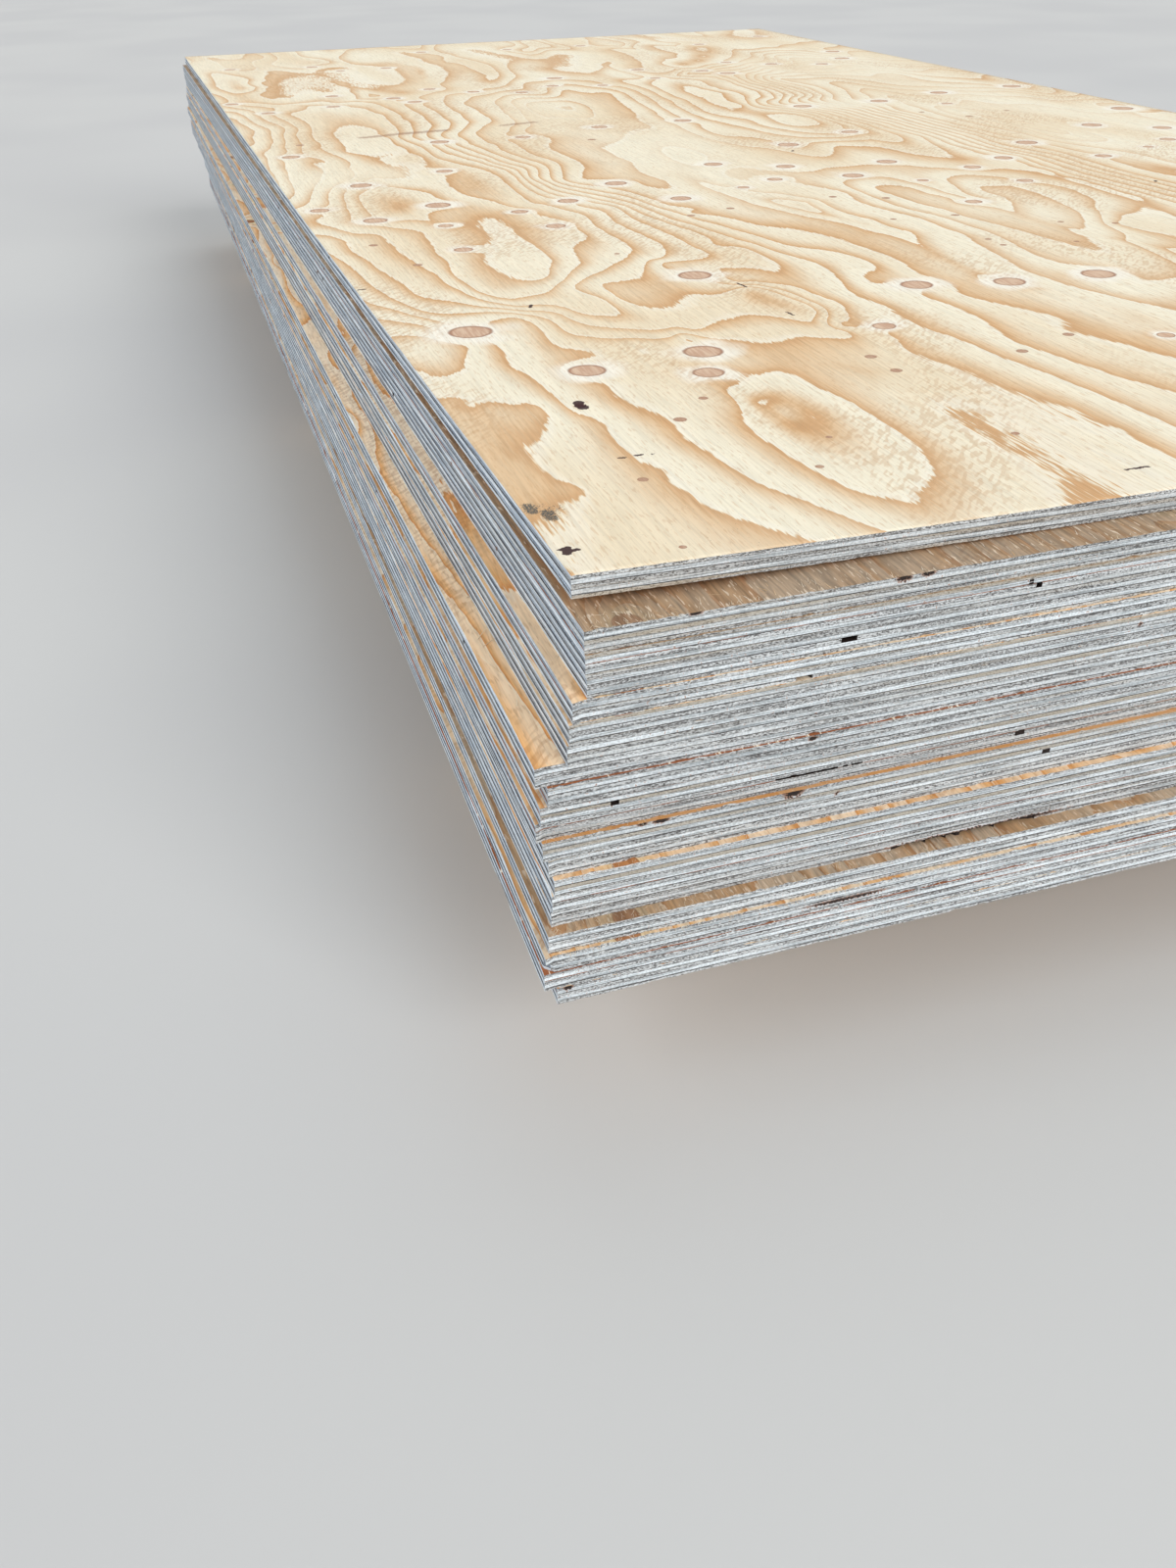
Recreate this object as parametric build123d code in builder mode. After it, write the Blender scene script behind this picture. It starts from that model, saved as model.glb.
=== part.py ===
from build123d import *
import os
from math import atan2, cos, degrees, hypot, radians, sin

# Stack of plywood sheets on three timber bearers, in millimetres.
# +X runs along the short side, +Y along the long side and the face grain, +Z up.
# The origin is on the floor, below the middle of the stack.

# Sheet: the sold size, with five plies
sheet_length = 2440.0
sheet_width = 1220.0
sheet_thickness = 12.0
ply_count = 5
face_ply = 2.0
ply_recess = 0.4          # how far the cross plies sit back from the sawn edge

# Bearers under the stack
bearer_count = 3
bearer_height = 95.0
bearer_width = 95.0
bearer_length = 1100.0
bearer_chamfer = 4.0
bearer_end_gap = 300.0    # from the end of the sheets to the first bearer

# Open gaps in the plies: height is the ply's own
gap_clearance = 1.0       # how far a cut starts outside the sheet
long_gap_length = 53.0
long_gap_depth = 16.0
torn_length = 96.0
torn_depth = 5.0
short_gap_length = 9.0
short_gap_depth = 7.0
pin_gap_length = 3.5
pin_gap_depth = 5.0

# Knocked-off corner
knock_reach = 7.0
knock_height = 5.5

# Top sheet's near left corner, curled up off the stack about a slanting line
curl_lift = 6.0
curl_along_short = 450.0  # where the curl starts on the short edge
curl_along_long = 1050.0  # where it starts on the long edge

# Each sheet from the floor up: how far its near left corner lies from the corner
# of a true stack, right and back, and how far it is turned, in degrees
sheet_places = [
    (-3, -6, -0.50),
    (-10, -6, -0.45),
    (-9, -7, -0.45),
    (-6, -3, -0.40),
    (-2, 4, -0.20),
    (-2, 1, -0.20),
    (-1, -1, -0.15),
    (-3, 2, -0.05),
    (-6, 1, -0.10),
    (-9, 2, -0.05),
    (-7, -1, 0.00),
    (-3, -2, 0.05),
    (-9, -1, 0.00),
    (7, -4, 0.30),
    (8, -5, 0.35),
    (10, -5, 0.35),
    (18, -3, 0.50),
    (17, -4, 0.50),
    (17, -3, 0.50),
    (18, 19, 0.35),
]

# Gaps in the near edge: sheet, ply from its underside, start from the near left
# corner, length and depth
edge_gaps = [
    (10, 4, 101.0, long_gap_length, long_gap_depth),
    (5, 1, 187.0, torn_length, torn_depth),
    (17, 3, 134.0, short_gap_length, short_gap_depth),
    (16, 1, 102.0, short_gap_length, short_gap_depth),
    (18, 3, 248.0, pin_gap_length, pin_gap_depth),
]
knocked_sheet = 3


def ply_level(ply):
    """Height of the underside of a ply above the underside of its sheet."""
    inner_ply = (sheet_thickness - 2 * face_ply) / (ply_count - 2)
    if ply == 0:
        return 0.0
    if ply == ply_count:
        return sheet_thickness
    return face_ply + (ply - 1) * inner_ply


def sheet_plane(number):
    """Plane on a sheet's underside, with its origin at the near left corner."""
    right, back, turn = sheet_places[number - 1]
    origin = (
        -sheet_width / 2 + right,
        -sheet_length / 2 + back,
        bearer_height + (number - 1) * sheet_thickness,
    )
    return Plane(origin=origin, x_dir=(cos(radians(turn)), sin(radians(turn)), 0), z_dir=(0, 0, 1))


def flat_ply(number, ply):
    """One ply of a flat sheet, set back a little if its grain crosses the sheet."""
    recess = ply_recess if ply % 2 else 0.0
    with BuildPart() as leaf:
        with BuildSketch(sheet_plane(number).offset(ply_level(ply))):
            with Locations((sheet_width / 2, sheet_length / 2)):
                Rectangle(sheet_width - 2 * recess, sheet_length - 2 * recess)
        extrude(amount=ply_level(ply + 1) - ply_level(ply))
    return leaf.part


def curled_ply(number, ply):
    """One ply of the sheet whose near left corner curls up on a large radius."""
    slant = hypot(curl_along_short, curl_along_long)
    reach = curl_along_short * curl_along_long / slant
    radius = reach**2 / (2 * curl_lift)
    flat_run = hypot(sheet_width, sheet_length)
    recess = ply_recess if ply % 2 else 0.0
    underside = sheet_plane(number)
    foot, head = ply_level(ply), ply_level(ply + 1)
    # The side view has its origin where the curl starts, its x away from the corner
    side_view = Plane(
        origin=underside.from_local_coords((curl_along_short, 0, 0)),
        x_dir=underside.x_dir.rotate(
            Axis.Z, degrees(atan2(curl_along_short, curl_along_long))
        ),
        z_dir=underside.x_dir.rotate(
            Axis.Z, degrees(atan2(curl_along_short, curl_along_long)) - 90
        ),
    )
    turn = -1.5 * degrees(reach / radius)
    with BuildPart() as leaf:
        with BuildSketch(side_view):
            with BuildLine():
                low_arc = CenterArc((0, radius), radius - foot, 270, turn)
                high_arc = CenterArc((0, radius), radius - head, 270, turn)
                Line(low_arc @ 1, high_arc @ 1)
                Polyline(low_arc @ 0, (flat_run, foot), (flat_run, head), high_arc @ 0)
            make_face()
        extrude(amount=flat_run, both=True)
        with BuildSketch(underside):
            with Locations((sheet_width / 2, sheet_length / 2)):
                Rectangle(sheet_width - 2 * recess, sheet_length - 2 * recess)
        extrude(amount=sheet_thickness + 2 * curl_lift, mode=Mode.INTERSECT)
    return leaf.part


os.makedirs("parts", exist_ok=True)

# Sheets
for number in range(1, len(sheet_places) + 1):
    underside = sheet_plane(number)
    make_ply = curled_ply if number == len(sheet_places) else flat_ply
    plies = [make_ply(number, ply) for ply in range(ply_count)]
    with BuildPart() as sheet:
        add(plies)
        for gap_sheet, gap_ply, gap_start, gap_length, gap_depth in edge_gaps:
            if gap_sheet == number:
                gap_foot = ply_level(gap_ply - 1)
                with BuildSketch(underside.offset(gap_foot)):
                    with Locations((gap_start, -gap_clearance)):
                        Rectangle(
                            gap_length,
                            gap_depth + gap_clearance,
                            align=(Align.MIN, Align.MIN),
                        )
                extrude(amount=ply_level(gap_ply) - gap_foot, mode=Mode.SUBTRACT)
        if number == knocked_sheet:
            with BuildSketch(underside):
                with BuildLine():
                    Polyline(
                        (-gap_clearance, -gap_clearance),
                        (knock_reach, -gap_clearance),
                        (-gap_clearance, knock_reach),
                        close=True,
                    )
                make_face()
            extrude(amount=knock_height, mode=Mode.SUBTRACT)
    sheet.part.label = f"sheet_{number:02d}"
    export_step(sheet.part, f"parts/sheet_{number:02d}.step")

# Bearers, across the sheets, evenly spaced between the two outer ones
bearer_reach = sheet_length - 2 * bearer_end_gap - bearer_width
for number in range(bearer_count):
    middle = -bearer_reach / 2 + number * bearer_reach / (bearer_count - 1)
    with BuildPart() as bearer:
        with BuildSketch(Plane.YZ.offset(-bearer_length / 2)):
            with Locations((middle, bearer_height / 2)):
                Rectangle(bearer_width, bearer_height)
        extrude(amount=bearer_length)
        chamfer(bearer.edges().filter_by(Axis.X), bearer_chamfer)
    bearer.part.label = f"bearer_{number + 1}"
    export_step(bearer.part, f"parts/bearer_{number + 1}.step")
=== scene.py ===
import math
import bpy
import numpy as np
from mathutils import Matrix, Vector
from mathutils.geometry import delaunay_2d_cdt


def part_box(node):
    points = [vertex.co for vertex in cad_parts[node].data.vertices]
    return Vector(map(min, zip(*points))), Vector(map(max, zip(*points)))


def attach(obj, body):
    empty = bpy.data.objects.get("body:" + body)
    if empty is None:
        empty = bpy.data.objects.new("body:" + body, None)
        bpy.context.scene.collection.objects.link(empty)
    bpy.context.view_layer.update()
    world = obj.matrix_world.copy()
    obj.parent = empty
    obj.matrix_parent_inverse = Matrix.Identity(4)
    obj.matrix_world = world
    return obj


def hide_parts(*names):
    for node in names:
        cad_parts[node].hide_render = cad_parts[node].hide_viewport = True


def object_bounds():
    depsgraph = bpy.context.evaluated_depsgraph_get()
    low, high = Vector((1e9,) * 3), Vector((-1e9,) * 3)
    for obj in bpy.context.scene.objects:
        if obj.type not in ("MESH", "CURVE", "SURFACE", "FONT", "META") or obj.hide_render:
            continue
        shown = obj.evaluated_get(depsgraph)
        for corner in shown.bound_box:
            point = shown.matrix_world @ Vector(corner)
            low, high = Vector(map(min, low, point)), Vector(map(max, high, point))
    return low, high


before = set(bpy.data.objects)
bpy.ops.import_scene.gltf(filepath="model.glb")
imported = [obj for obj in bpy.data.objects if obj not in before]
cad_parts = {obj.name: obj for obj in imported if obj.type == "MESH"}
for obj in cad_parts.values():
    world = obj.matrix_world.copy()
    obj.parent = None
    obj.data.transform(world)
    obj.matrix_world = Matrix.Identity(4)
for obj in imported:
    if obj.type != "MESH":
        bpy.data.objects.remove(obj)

cadLow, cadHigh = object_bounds()
print("frame loaded, CAD box", tuple(cadLow), tuple(cadHigh))

mm = 0.001


# Camera, where the photograph was taken from
cameraSettings = {
    "place": (-0.7509, -1.7209, 0.605),
    "looksAlong": (0.2483, 0.7796, -0.575),
    "up": (0.1899, 0.5429, 0.818),
    "lens": 29.52,
}


def placeCamera(settings):
    data = bpy.data.cameras.new("photoCamera")
    data.lens = settings["lens"]
    data.clip_start = 0.05
    data.clip_end = 200
    camera = bpy.data.objects.new("photoCamera", data)
    bpy.context.scene.collection.objects.link(camera)
    back = -Vector(settings["looksAlong"]).normalized()
    right = Vector(settings["up"]).cross(back).normalized()
    up = back.cross(right)
    turn = Matrix((right, up, back)).transposed().to_4x4()
    camera.matrix_world = Matrix.Translation(settings["place"]) @ turn
    bpy.context.scene.camera = camera


placeCamera(cameraSettings)


# Light: an even pale surround, a weak lamp from above, a strong one from the front and a cool one
# from the left, all soft
lightSettings = {
    "surround": 0.44,
    "surroundTint": (0.96, 0.98, 1.0),
    "seenBackground": 0.90,
    "lamps": {
        # name: (direction it comes from, strength, softness in degrees, tint)
        "topLamp": ((0.35, 0.55, 1.0), 0.34, 45, (1.0, 0.99, 0.98)),
        "frontLamp": ((0.30, -0.90, 0.58), 1.78, 32, (0.99, 0.99, 1.0)),
        "leftLamp": ((-0.85, -0.15, 0.58), 1.36, 50, (0.92, 0.96, 1.0)),
    },
}


def setLight(settings):
    world = bpy.data.worlds.new("paleSurround")
    bpy.context.scene.world = world
    world.use_nodes = True
    tree = world.node_tree
    tree.nodes.clear()
    out = tree.nodes.new("ShaderNodeOutputWorld")
    lit = tree.nodes.new("ShaderNodeBackground")
    lit.inputs["Color"].default_value = (*settings["surroundTint"], 1)
    lit.inputs["Strength"].default_value = settings["surround"]
    seen = tree.nodes.new("ShaderNodeBackground")
    seen.inputs["Color"].default_value = (1, 1, 1, 1)
    seen.inputs["Strength"].default_value = settings["seenBackground"]
    path = tree.nodes.new("ShaderNodeLightPath")
    mix = tree.nodes.new("ShaderNodeMixShader")
    tree.links.new(path.outputs["Is Camera Ray"], mix.inputs[0])
    tree.links.new(lit.outputs[0], mix.inputs[1])
    tree.links.new(seen.outputs[0], mix.inputs[2])
    tree.links.new(mix.outputs[0], out.inputs["Surface"])
    for name, (comesFrom, strength, softness, tint) in settings["lamps"].items():
        lamp = bpy.data.lights.new(name, "SUN")
        lamp.energy = strength
        lamp.angle = math.radians(softness)
        lamp.color = tint
        holder = bpy.data.objects.new(name, lamp)
        holder.rotation_euler = Vector(comesFrom).to_track_quat("Z", "Y").to_euler()
        bpy.context.scene.collection.objects.link(holder)
    bpy.context.scene.view_settings.view_transform = "Standard"


setLight(lightSettings)
print("camera and light placed")


# Short ways to write nodes
def paint(red, green, blue):
    # a colour as a picture shows it, 0 to 255, in the renderer's own scale
    def straight(value):
        value = value / 255
        return value / 12.92 if value <= 0.04045 else ((value + 0.055) / 1.055) ** 2.4
    return (straight(red), straight(green), straight(blue), 1.0)


def fillInputs(tree, made, inputs):
    for key, value in inputs.items():
        if isinstance(value, bpy.types.NodeSocket):
            tree.links.new(value, made.inputs[key])
        else:
            made.inputs[key].default_value = value
    return made.outputs


def node(tree, kind, inputs, output=0, **settings):
    # makes a node and gives one of its outputs
    made = tree.nodes.new("ShaderNode" + kind)
    for name, value in settings.items():
        setattr(made, name, value)
    return fillInputs(tree, made, inputs)[output]


def calc(tree, operation, *values, clamp=False):
    return node(tree, "Math", dict(enumerate(values)), operation=operation, use_clamp=clamp)


def times(tree, first, second, clamp=False):
    return calc(tree, "MULTIPLY", first, second, clamp=clamp)


def plus(tree, first, second):
    return calc(tree, "ADD", first, second)


def centred(tree, value, height):
    # a value that varies round a half, turned into one that varies round 0
    return times(tree, calc(tree, "SUBTRACT", value, 0.5), height)


def soften(tree, value, low, high, toLow=0.0, toHigh=1.0):
    # smooth step of a value between two levels
    inputs = {0: value, 1: low, 2: high, 3: toLow, 4: toHigh}
    return node(tree, "MapRange", inputs, interpolation_type="SMOOTHSTEP")


def stretched(tree, position, scale):
    return node(tree, "VectorMath", {0: position, 1: scale}, operation="MULTIPLY")


def noise(tree, position, scale, detail, roughness):
    inputs = {"Vector": position, "Scale": scale, "Detail": detail, "Roughness": roughness}
    return node(tree, "TexNoise", inputs)


def drawnOutNoise(tree, position, stretch, detail, roughness):
    # noise with its own scale along each axis
    return noise(tree, stretched(tree, position, stretch), 1.0, detail, roughness)


def attributeOf(tree, name):
    return node(tree, "Attribute", {}, "Fac", attribute_name=name)


def blendColour(tree, share, first, second, mode="MIX"):
    return node(tree, "Mix", {0: share, 6: first, 7: second}, 2, data_type="RGBA", blend_type=mode)


def layered(tree, colour, *layers):
    # a colour with others laid over it, each by its own share
    for share, over in layers:
        colour = blendColour(tree, share, colour, over)
    return colour


def shadeBy(tree, colour, value):
    # a colour made lighter or darker by a value near 1
    grey = node(tree, "CombineColor", {0: value, 1: value, 2: value})
    return blendColour(tree, 1.0, colour, grey, "MULTIPLY")


def newGroup(name, **inputs):
    # a shared effect with its place as its first input, and the other inputs with their first values
    tree = bpy.data.node_groups.new(name, "ShaderNodeTree")
    tree.interface.new_socket("Position", in_out="INPUT", socket_type="NodeSocketVector")
    for key, value in inputs.items():
        socket = tree.interface.new_socket(key, in_out="INPUT", socket_type="NodeSocketFloat")
        socket.default_value = value
    return tree, tree.nodes.new("NodeGroupInput").outputs


def finishGroup(tree, values):
    for key in values:
        tree.interface.new_socket(key, in_out="OUTPUT", socket_type="NodeSocketFloat")
    fillInputs(tree, tree.nodes.new("NodeGroupOutput"), values)
    return tree


def useGroup(tree, group, inputs):
    made = tree.nodes.new("ShaderNodeGroup")
    made.node_tree = group
    return fillInputs(tree, made, inputs)


def newMaterial(name):
    material = bpy.data.materials.new(name)
    material.use_nodes = True
    tree = material.node_tree
    tree.nodes.clear()
    out = tree.nodes.new("ShaderNodeOutputMaterial")
    shader = tree.nodes.new("ShaderNodeBsdfPrincipled")
    tree.links.new(shader.outputs[0], out.inputs["Surface"])
    return material, tree, shader, node(tree, "TexCoord", {}, "Object")


def finishSurface(tree, shader, colour, roughness, height, depth, strength=1.0):
    bump = node(tree, "Bump", {"Height": height, "Distance": depth, "Strength": strength})
    fillInputs(tree, shader, {"Base Color": colour, "Roughness": roughness, "Normal": bump})


# Shared effects
def makeFibreStreaks():
    # fine lines of fibre that run along Y, with short dark dashes
    tree, given = newGroup("fibreStreaks", Across=700.0, Along=14.0)
    place = given["Position"]
    scale = node(tree, "CombineXYZ", {0: given["Across"], 1: given["Along"], 2: 0.0})
    pores = drawnOutNoise(tree, place, (640.0, 88.0, 0.0), 1.0, 0.5)
    # patches of short strokes across the fibre, as a veneer knife leaves them
    turned = {"Vector": place, "Rotation": (0.0, 0.0, math.radians(48)), "Scale": (0.0085, 0.0027, 1.0)}
    leaning = node(tree, "Mapping", turned, vector_type="TEXTURE")
    strokes = soften(tree, noise(tree, leaning, 1.0, 0.0, 0.5), 0.46, 0.66)
    patches = soften(tree, drawnOutNoise(tree, place, (9.0, 5.0, 0.0), 0.0, 0.5), 0.50, 0.66)
    return finishGroup(tree, {
        "Streak": drawnOutNoise(tree, place, scale, 2.0, 0.65),
        "Feather": drawnOutNoise(tree, place, (460.0, 42.0, 0.0), 1.0, 0.6),
        "Dash": soften(tree, pores, 0.56, 0.70),
        "Chatter": times(tree, strokes, patches),
    })


def makeRingBands():
    # growth rings from a smooth field: each rises softly to tan and ends at a crisp line
    tree, given = newGroup("ringBands", Field=0.0, Feather=0.5, Feathering=0.12)
    jag = centred(tree, given["Feather"], given["Feathering"])
    phase = calc(tree, "FRACT", plus(tree, given["Field"], jag))
    ends = soften(tree, phase, 0.97, 1.0, 1.0, 0.0)
    return finishGroup(tree, {
        "Wash": times(tree, calc(tree, "POWER", soften(tree, phase, 0.10, 0.97), 2.0), ends),
        "Line": times(tree, soften(tree, phase, 0.84, 0.98), ends),
        "Pale Edge": soften(tree, phase, 0.0, 0.14, 1.0, 0.0),
    })


def makeSawnEndGrain():
    # cut fibre ends: fine speckle, thin lines along the ply and a slow change of tint
    tree, given = newGroup("sawnEndGrain")
    speckle = drawnOutNoise(tree, given["Position"], (620.0, 620.0, 1500.0), 1.0, 0.8)
    return finishGroup(tree, {
        "Speckle": speckle,
        "Pore": soften(tree, speckle, 0.40, 0.30),
        "Lines": drawnOutNoise(tree, given["Position"], (17.0, 17.0, 1050.0), 1.0, 0.6),
        "Drift": drawnOutNoise(tree, given["Position"], (6.0, 6.0, 330.0), 1.0, 0.55),
    })


def makeSawnSideGrain():
    # fibres that lie along the edge: long fine streaks, fuzz and a few dark splits
    tree, given = newGroup("sawnSideGrain")
    streaks = drawnOutNoise(tree, given["Position"], (24.0, 24.0, 1250.0), 2.0, 0.65)
    return finishGroup(tree, {
        "Streak": streaks,
        "Split": soften(tree, streaks, 0.31, 0.24),
        "Drift": drawnOutNoise(tree, given["Position"], (5.0, 5.0, 300.0), 1.0, 0.55),
        "Fuzz": noise(tree, given["Position"], 760.0, 0.0, 0.5),
    })


def makeVeneerFigure():
    # ring field and knots of a peeled veneer, for the faces that lie hidden or show as strips
    tree, given = newGroup("veneerFigure")
    place = given["Position"]
    warp = drawnOutNoise(tree, place, (11.0, 5.0, 60.0), 1.0, 0.5)
    field = drawnOutNoise(tree, place, (12.0, 1.3, 37.0), 1.0, 0.45)
    field = plus(tree, times(tree, field, 13.0), times(tree, warp, 2.6))
    cells = {"Vector": stretched(tree, place, (5.6, 4.4, 0.0)), "Scale": 1.0, "Randomness": 1.0}
    away = node(tree, "TexVoronoi", cells, "Distance", voronoi_dimensions="2D", feature="F1")
    away = calc(tree, "DIVIDE", away, 0.042)
    bump = calc(tree, "EXPONENT", times(tree, times(tree, away, away), -0.13))
    return finishGroup(tree, {
        "Field": plus(tree, field, times(tree, bump, 2.4)),
        "Knot": soften(tree, away, 0.85, 1.12, 1.0, 0.0),
        "Halo": soften(tree, away, 1.1, 2.4, 1.0, 0.0),
    })


fibreStreaks = makeFibreStreaks()
ringBands = makeRingBands()
sawnEndGrain = makeSawnEndGrain()
sawnSideGrain = makeSawnSideGrain()
veneerFigure = makeVeneerFigure()


# Peeled veneer: the top face is drawn from what its mesh carries, the others from noise
veneerColours = {
    "cream": paint(247, 238, 213),
    "deepCream": paint(241, 225, 194),
    "tan": paint(224, 184, 136),
    "ringLine": paint(206, 156, 105),
    "paleEdge": paint(251, 245, 228),
    "knot": paint(222, 192, 164),
    "knotWorn": paint(204, 166, 138),
    "knotRim": paint(150, 98, 70),
    "halo": paint(252, 246, 231),
    "dash": paint(203, 162, 116),
    "mould": paint(66, 76, 76),
    "resin": paint(54, 18, 24),
}
goldenColours = {
    "cream": paint(255, 233, 203),
    "deepCream": paint(251, 219, 180),
    "tan": paint(241, 184, 118),
    "ringLine": paint(212, 130, 58),
    "paleEdge": paint(255, 240, 216),
    "knot": paint(190, 128, 78),
    "knotWorn": paint(160, 100, 58),
    "knotRim": paint(120, 66, 38),
    "halo": paint(246, 222, 176),
    "dash": paint(176, 120, 66),
    # brown: a duller face, darkened as painted shade for strips under the sheet above
    "brownAndShade": paint(136, 112, 88),
    "rust": paint(160, 92, 50),
    "amber": paint(206, 146, 84),
}


def veneerColour(tree, position, fibre, bands, wash, line, knot, halo, colours, contrast):
    mottle = drawnOutNoise(tree, position, (9.0, 3.0, 0.0), 0.0, 0.5)
    clear = calc(tree, "MULTIPLY_ADD", halo, -0.85, 1.0)
    colour = layered(
        tree, colours["cream"],
        (soften(tree, mottle, 0.35, 0.72), colours["deepCream"]),
        (times(tree, bands["Pale Edge"], 0.5), colours["paleEdge"]),
        (times(tree, wash, clear), colours["tan"]),
        (times(tree, times(tree, line, 0.68), clear), colours["ringLine"]),
        (times(tree, halo, 0.85), colours["halo"]),
    )
    # fine fibre lines, then knots with a darker rim and worn rings inside
    shade = soften(tree, fibre["Streak"], 0.24, 0.68, 1 - contrast, 1 + contrast * 0.35)
    worn = soften(tree, fibre["Feather"], 0.35, 0.62)
    core = blendColour(tree, worn, colours["knot"], colours["knotWorn"])
    rim = times(tree, soften(tree, knot, 0.05, 0.40), soften(tree, knot, 0.50, 0.95, 1.0, 0.0))
    return layered(
        tree, shadeBy(tree, colour, shade),
        (times(tree, fibre["Dash"], 0.34), colours["dash"]),
        (times(tree, fibre["Chatter"], 0.38), colours["dash"]),
        (soften(tree, knot, 0.3, 0.6), core),
        (times(tree, rim, 0.70), colours["knotRim"]),
    )


def finishVeneer(tree, shader, colour, fibre):
    roughness = soften(tree, fibre["Streak"], 0.2, 0.8, 0.82, 0.70)
    finishSurface(tree, shader, colour, roughness, fibre["Streak"], 0.00030, 0.8)


def makeTopVeneer(colours):
    material, tree, shader, position = newMaterial("topVeneer")
    field, strength, knot, halo, dark, smear, mould = [
        attributeOf(tree, name) for name in ("ringField", "ringStrength", "knotCore", "knotHalo",
                                             "darkMark", "smearMark", "mouldMark")]
    fibre = useGroup(tree, fibreStreaks, {"Position": position, "Across": 520.0, "Along": 16.0})
    bands = useGroup(tree, ringBands, {"Field": field, "Feather": fibre["Feather"], "Feathering": 0.15})
    wash, line = times(tree, bands["Wash"], strength), times(tree, bands["Line"], strength)
    colour = veneerColour(tree, position, fibre, bands, wash, line, knot, halo, colours, 0.13)
    # dark resin marks, smears and a patch of mould, all ragged
    ragged = centred(tree, noise(tree, position, 420.0, 1.0, 0.7), 1.3)
    specks = centred(tree, noise(tree, position, 1100.0, 1.0, 0.7), 2.6)
    dark = soften(tree, plus(tree, dark, ragged), 0.42, 0.60)
    smear = soften(tree, plus(tree, smear, ragged), 0.35, 0.95)
    mould = soften(tree, plus(tree, mould, specks), 0.50, 0.95)
    colour = layered(
        tree, colour,
        (times(tree, dark, 0.97), colours["resin"]),
        (times(tree, smear, 0.55), colours["knotRim"]),
        (times(tree, mould, 0.90), colours["mould"]),
    )
    finishVeneer(tree, shader, colour, fibre)
    return material


def makeFaceVeneer(colours):
    material, tree, shader, position = newMaterial("faceVeneer")
    figure = useGroup(tree, veneerFigure, {"Position": position})
    fibre = useGroup(tree, fibreStreaks, {"Position": position, "Across": 430.0, "Along": 30.0})
    rings = {"Field": figure["Field"], "Feather": fibre["Feather"], "Feathering": 0.30}
    bands = useGroup(tree, ringBands, rings)
    colour = veneerColour(tree, position, fibre, bands, bands["Wash"], bands["Line"], figure["Knot"],
                          figure["Halo"], colours, 0.20)
    # tone 0 to 1 is a browner, duller face, partly painted shade where a strip lies under the sheet above, 1
    # to 2 a rusty one, and below 0 an amber one
    tone = attributeOf(tree, "plyTone")
    brownAndShade = shadeBy(tree, colours["brownAndShade"], soften(tree, fibre["Feather"], 0.30, 0.65, 0.74, 1.12))
    brownAndShade = shadeBy(tree, brownAndShade, soften(tree, fibre["Streak"], 0.32, 0.62, 0.64, 1.28))
    pale = times(tree, soften(tree, fibre["Dash"], 0.5, 1.0), times(tree, tone, 0.5, clamp=True))
    colour = layered(
        tree, colour,
        (times(tree, tone, -1.0, clamp=True), colours["amber"]),
        (times(tree, tone, 0.85, clamp=True), brownAndShade),
        (calc(tree, "SUBTRACT", tone, 1.0, clamp=True), colours["rust"]),
        (pale, colours["paleEdge"]),
    )
    finishVeneer(tree, shader, colour, fibre)
    return material


# Sawn edges: short sides are the near and far ones, long sides the left and right ones. The long sides'
# colours are painted shade and cool light: darker and bluer copies of the same wood
edgeColours = {
    "shortEnd": {"dark": paint(112, 111, 110), "light": paint(213, 216, 216), "warm": paint(202, 188, 166),
                 "speckle": 0.62},
    "shortSide": {"dark": paint(176, 183, 186), "light": paint(239, 246, 249), "warm": paint(226, 222, 213),
                  "fuzz": 0.80},
    # long sides: painted shade and cool light, darker and bluer than the short sides
    "shadedLongEnd": {"dark": paint(112, 123, 138), "light": paint(176, 188, 200), "warm": paint(168, 168, 166),
                "speckle": 0.32},
    "shadedLongSide": {"dark": paint(168, 182, 196), "light": paint(232, 240, 246), "warm": paint(212, 208, 198),
                 "fuzz": 0.93},
    "glue": {"dark": paint(56, 52, 50), "pale": paint(128, 126, 122), "rust": paint(158, 98, 62)},
    "knotStain": paint(168, 112, 74),
    # resin also colours the inside of the gaps, as painted shade
    "resin": paint(24, 14, 12),
}


def stainAndGapShadeEdge(tree, colour, ragged):
    # dark resin with a brown rim, where the mesh carries a stain; inside the gaps the same dark colour is
    # painted shade
    uneven = plus(tree, attributeOf(tree, "stain"), centred(tree, ragged, 1.5))
    return layered(
        tree, colour,
        (soften(tree, uneven, 0.25, 0.60, 0.0, 0.7), edgeColours["knotStain"]),
        (soften(tree, uneven, 0.55, 0.75, 0.0, 0.97), edgeColours["resin"]),
    )


def makeEndGrain(name, colours):
    material, tree, shader, position = newMaterial(name)
    grain = useGroup(tree, sawnEndGrain, {"Position": position})
    tone = attributeOf(tree, "plyTone")
    share = colours["speckle"]
    mixed = plus(tree, times(tree, grain["Speckle"], share), times(tree, grain["Lines"], 1 - share))
    warmth = plus(tree, times(tree, tone, 0.5), grain["Drift"])
    colour = layered(
        tree, colours["dark"],
        (soften(tree, mixed, 0.39, 0.61), colours["light"]),
        (soften(tree, warmth, 0.74, 1.05, 0.0, 0.70), colours["warm"]),
    )
    colour = shadeBy(tree, colour, soften(tree, tone, 0.0, 1.0, 1.12, 0.84))
    colour = layered(tree, colour, (times(tree, grain["Pore"], 0.5), edgeColours["glue"]["dark"]))
    colour = stainAndGapShadeEdge(tree, colour, grain["Speckle"])
    roughness = soften(tree, grain["Speckle"], 0.3, 0.7, 0.92, 0.8)
    finishSurface(tree, shader, colour, roughness, grain["Speckle"], 0.0008, 0.9)
    return material


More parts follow.
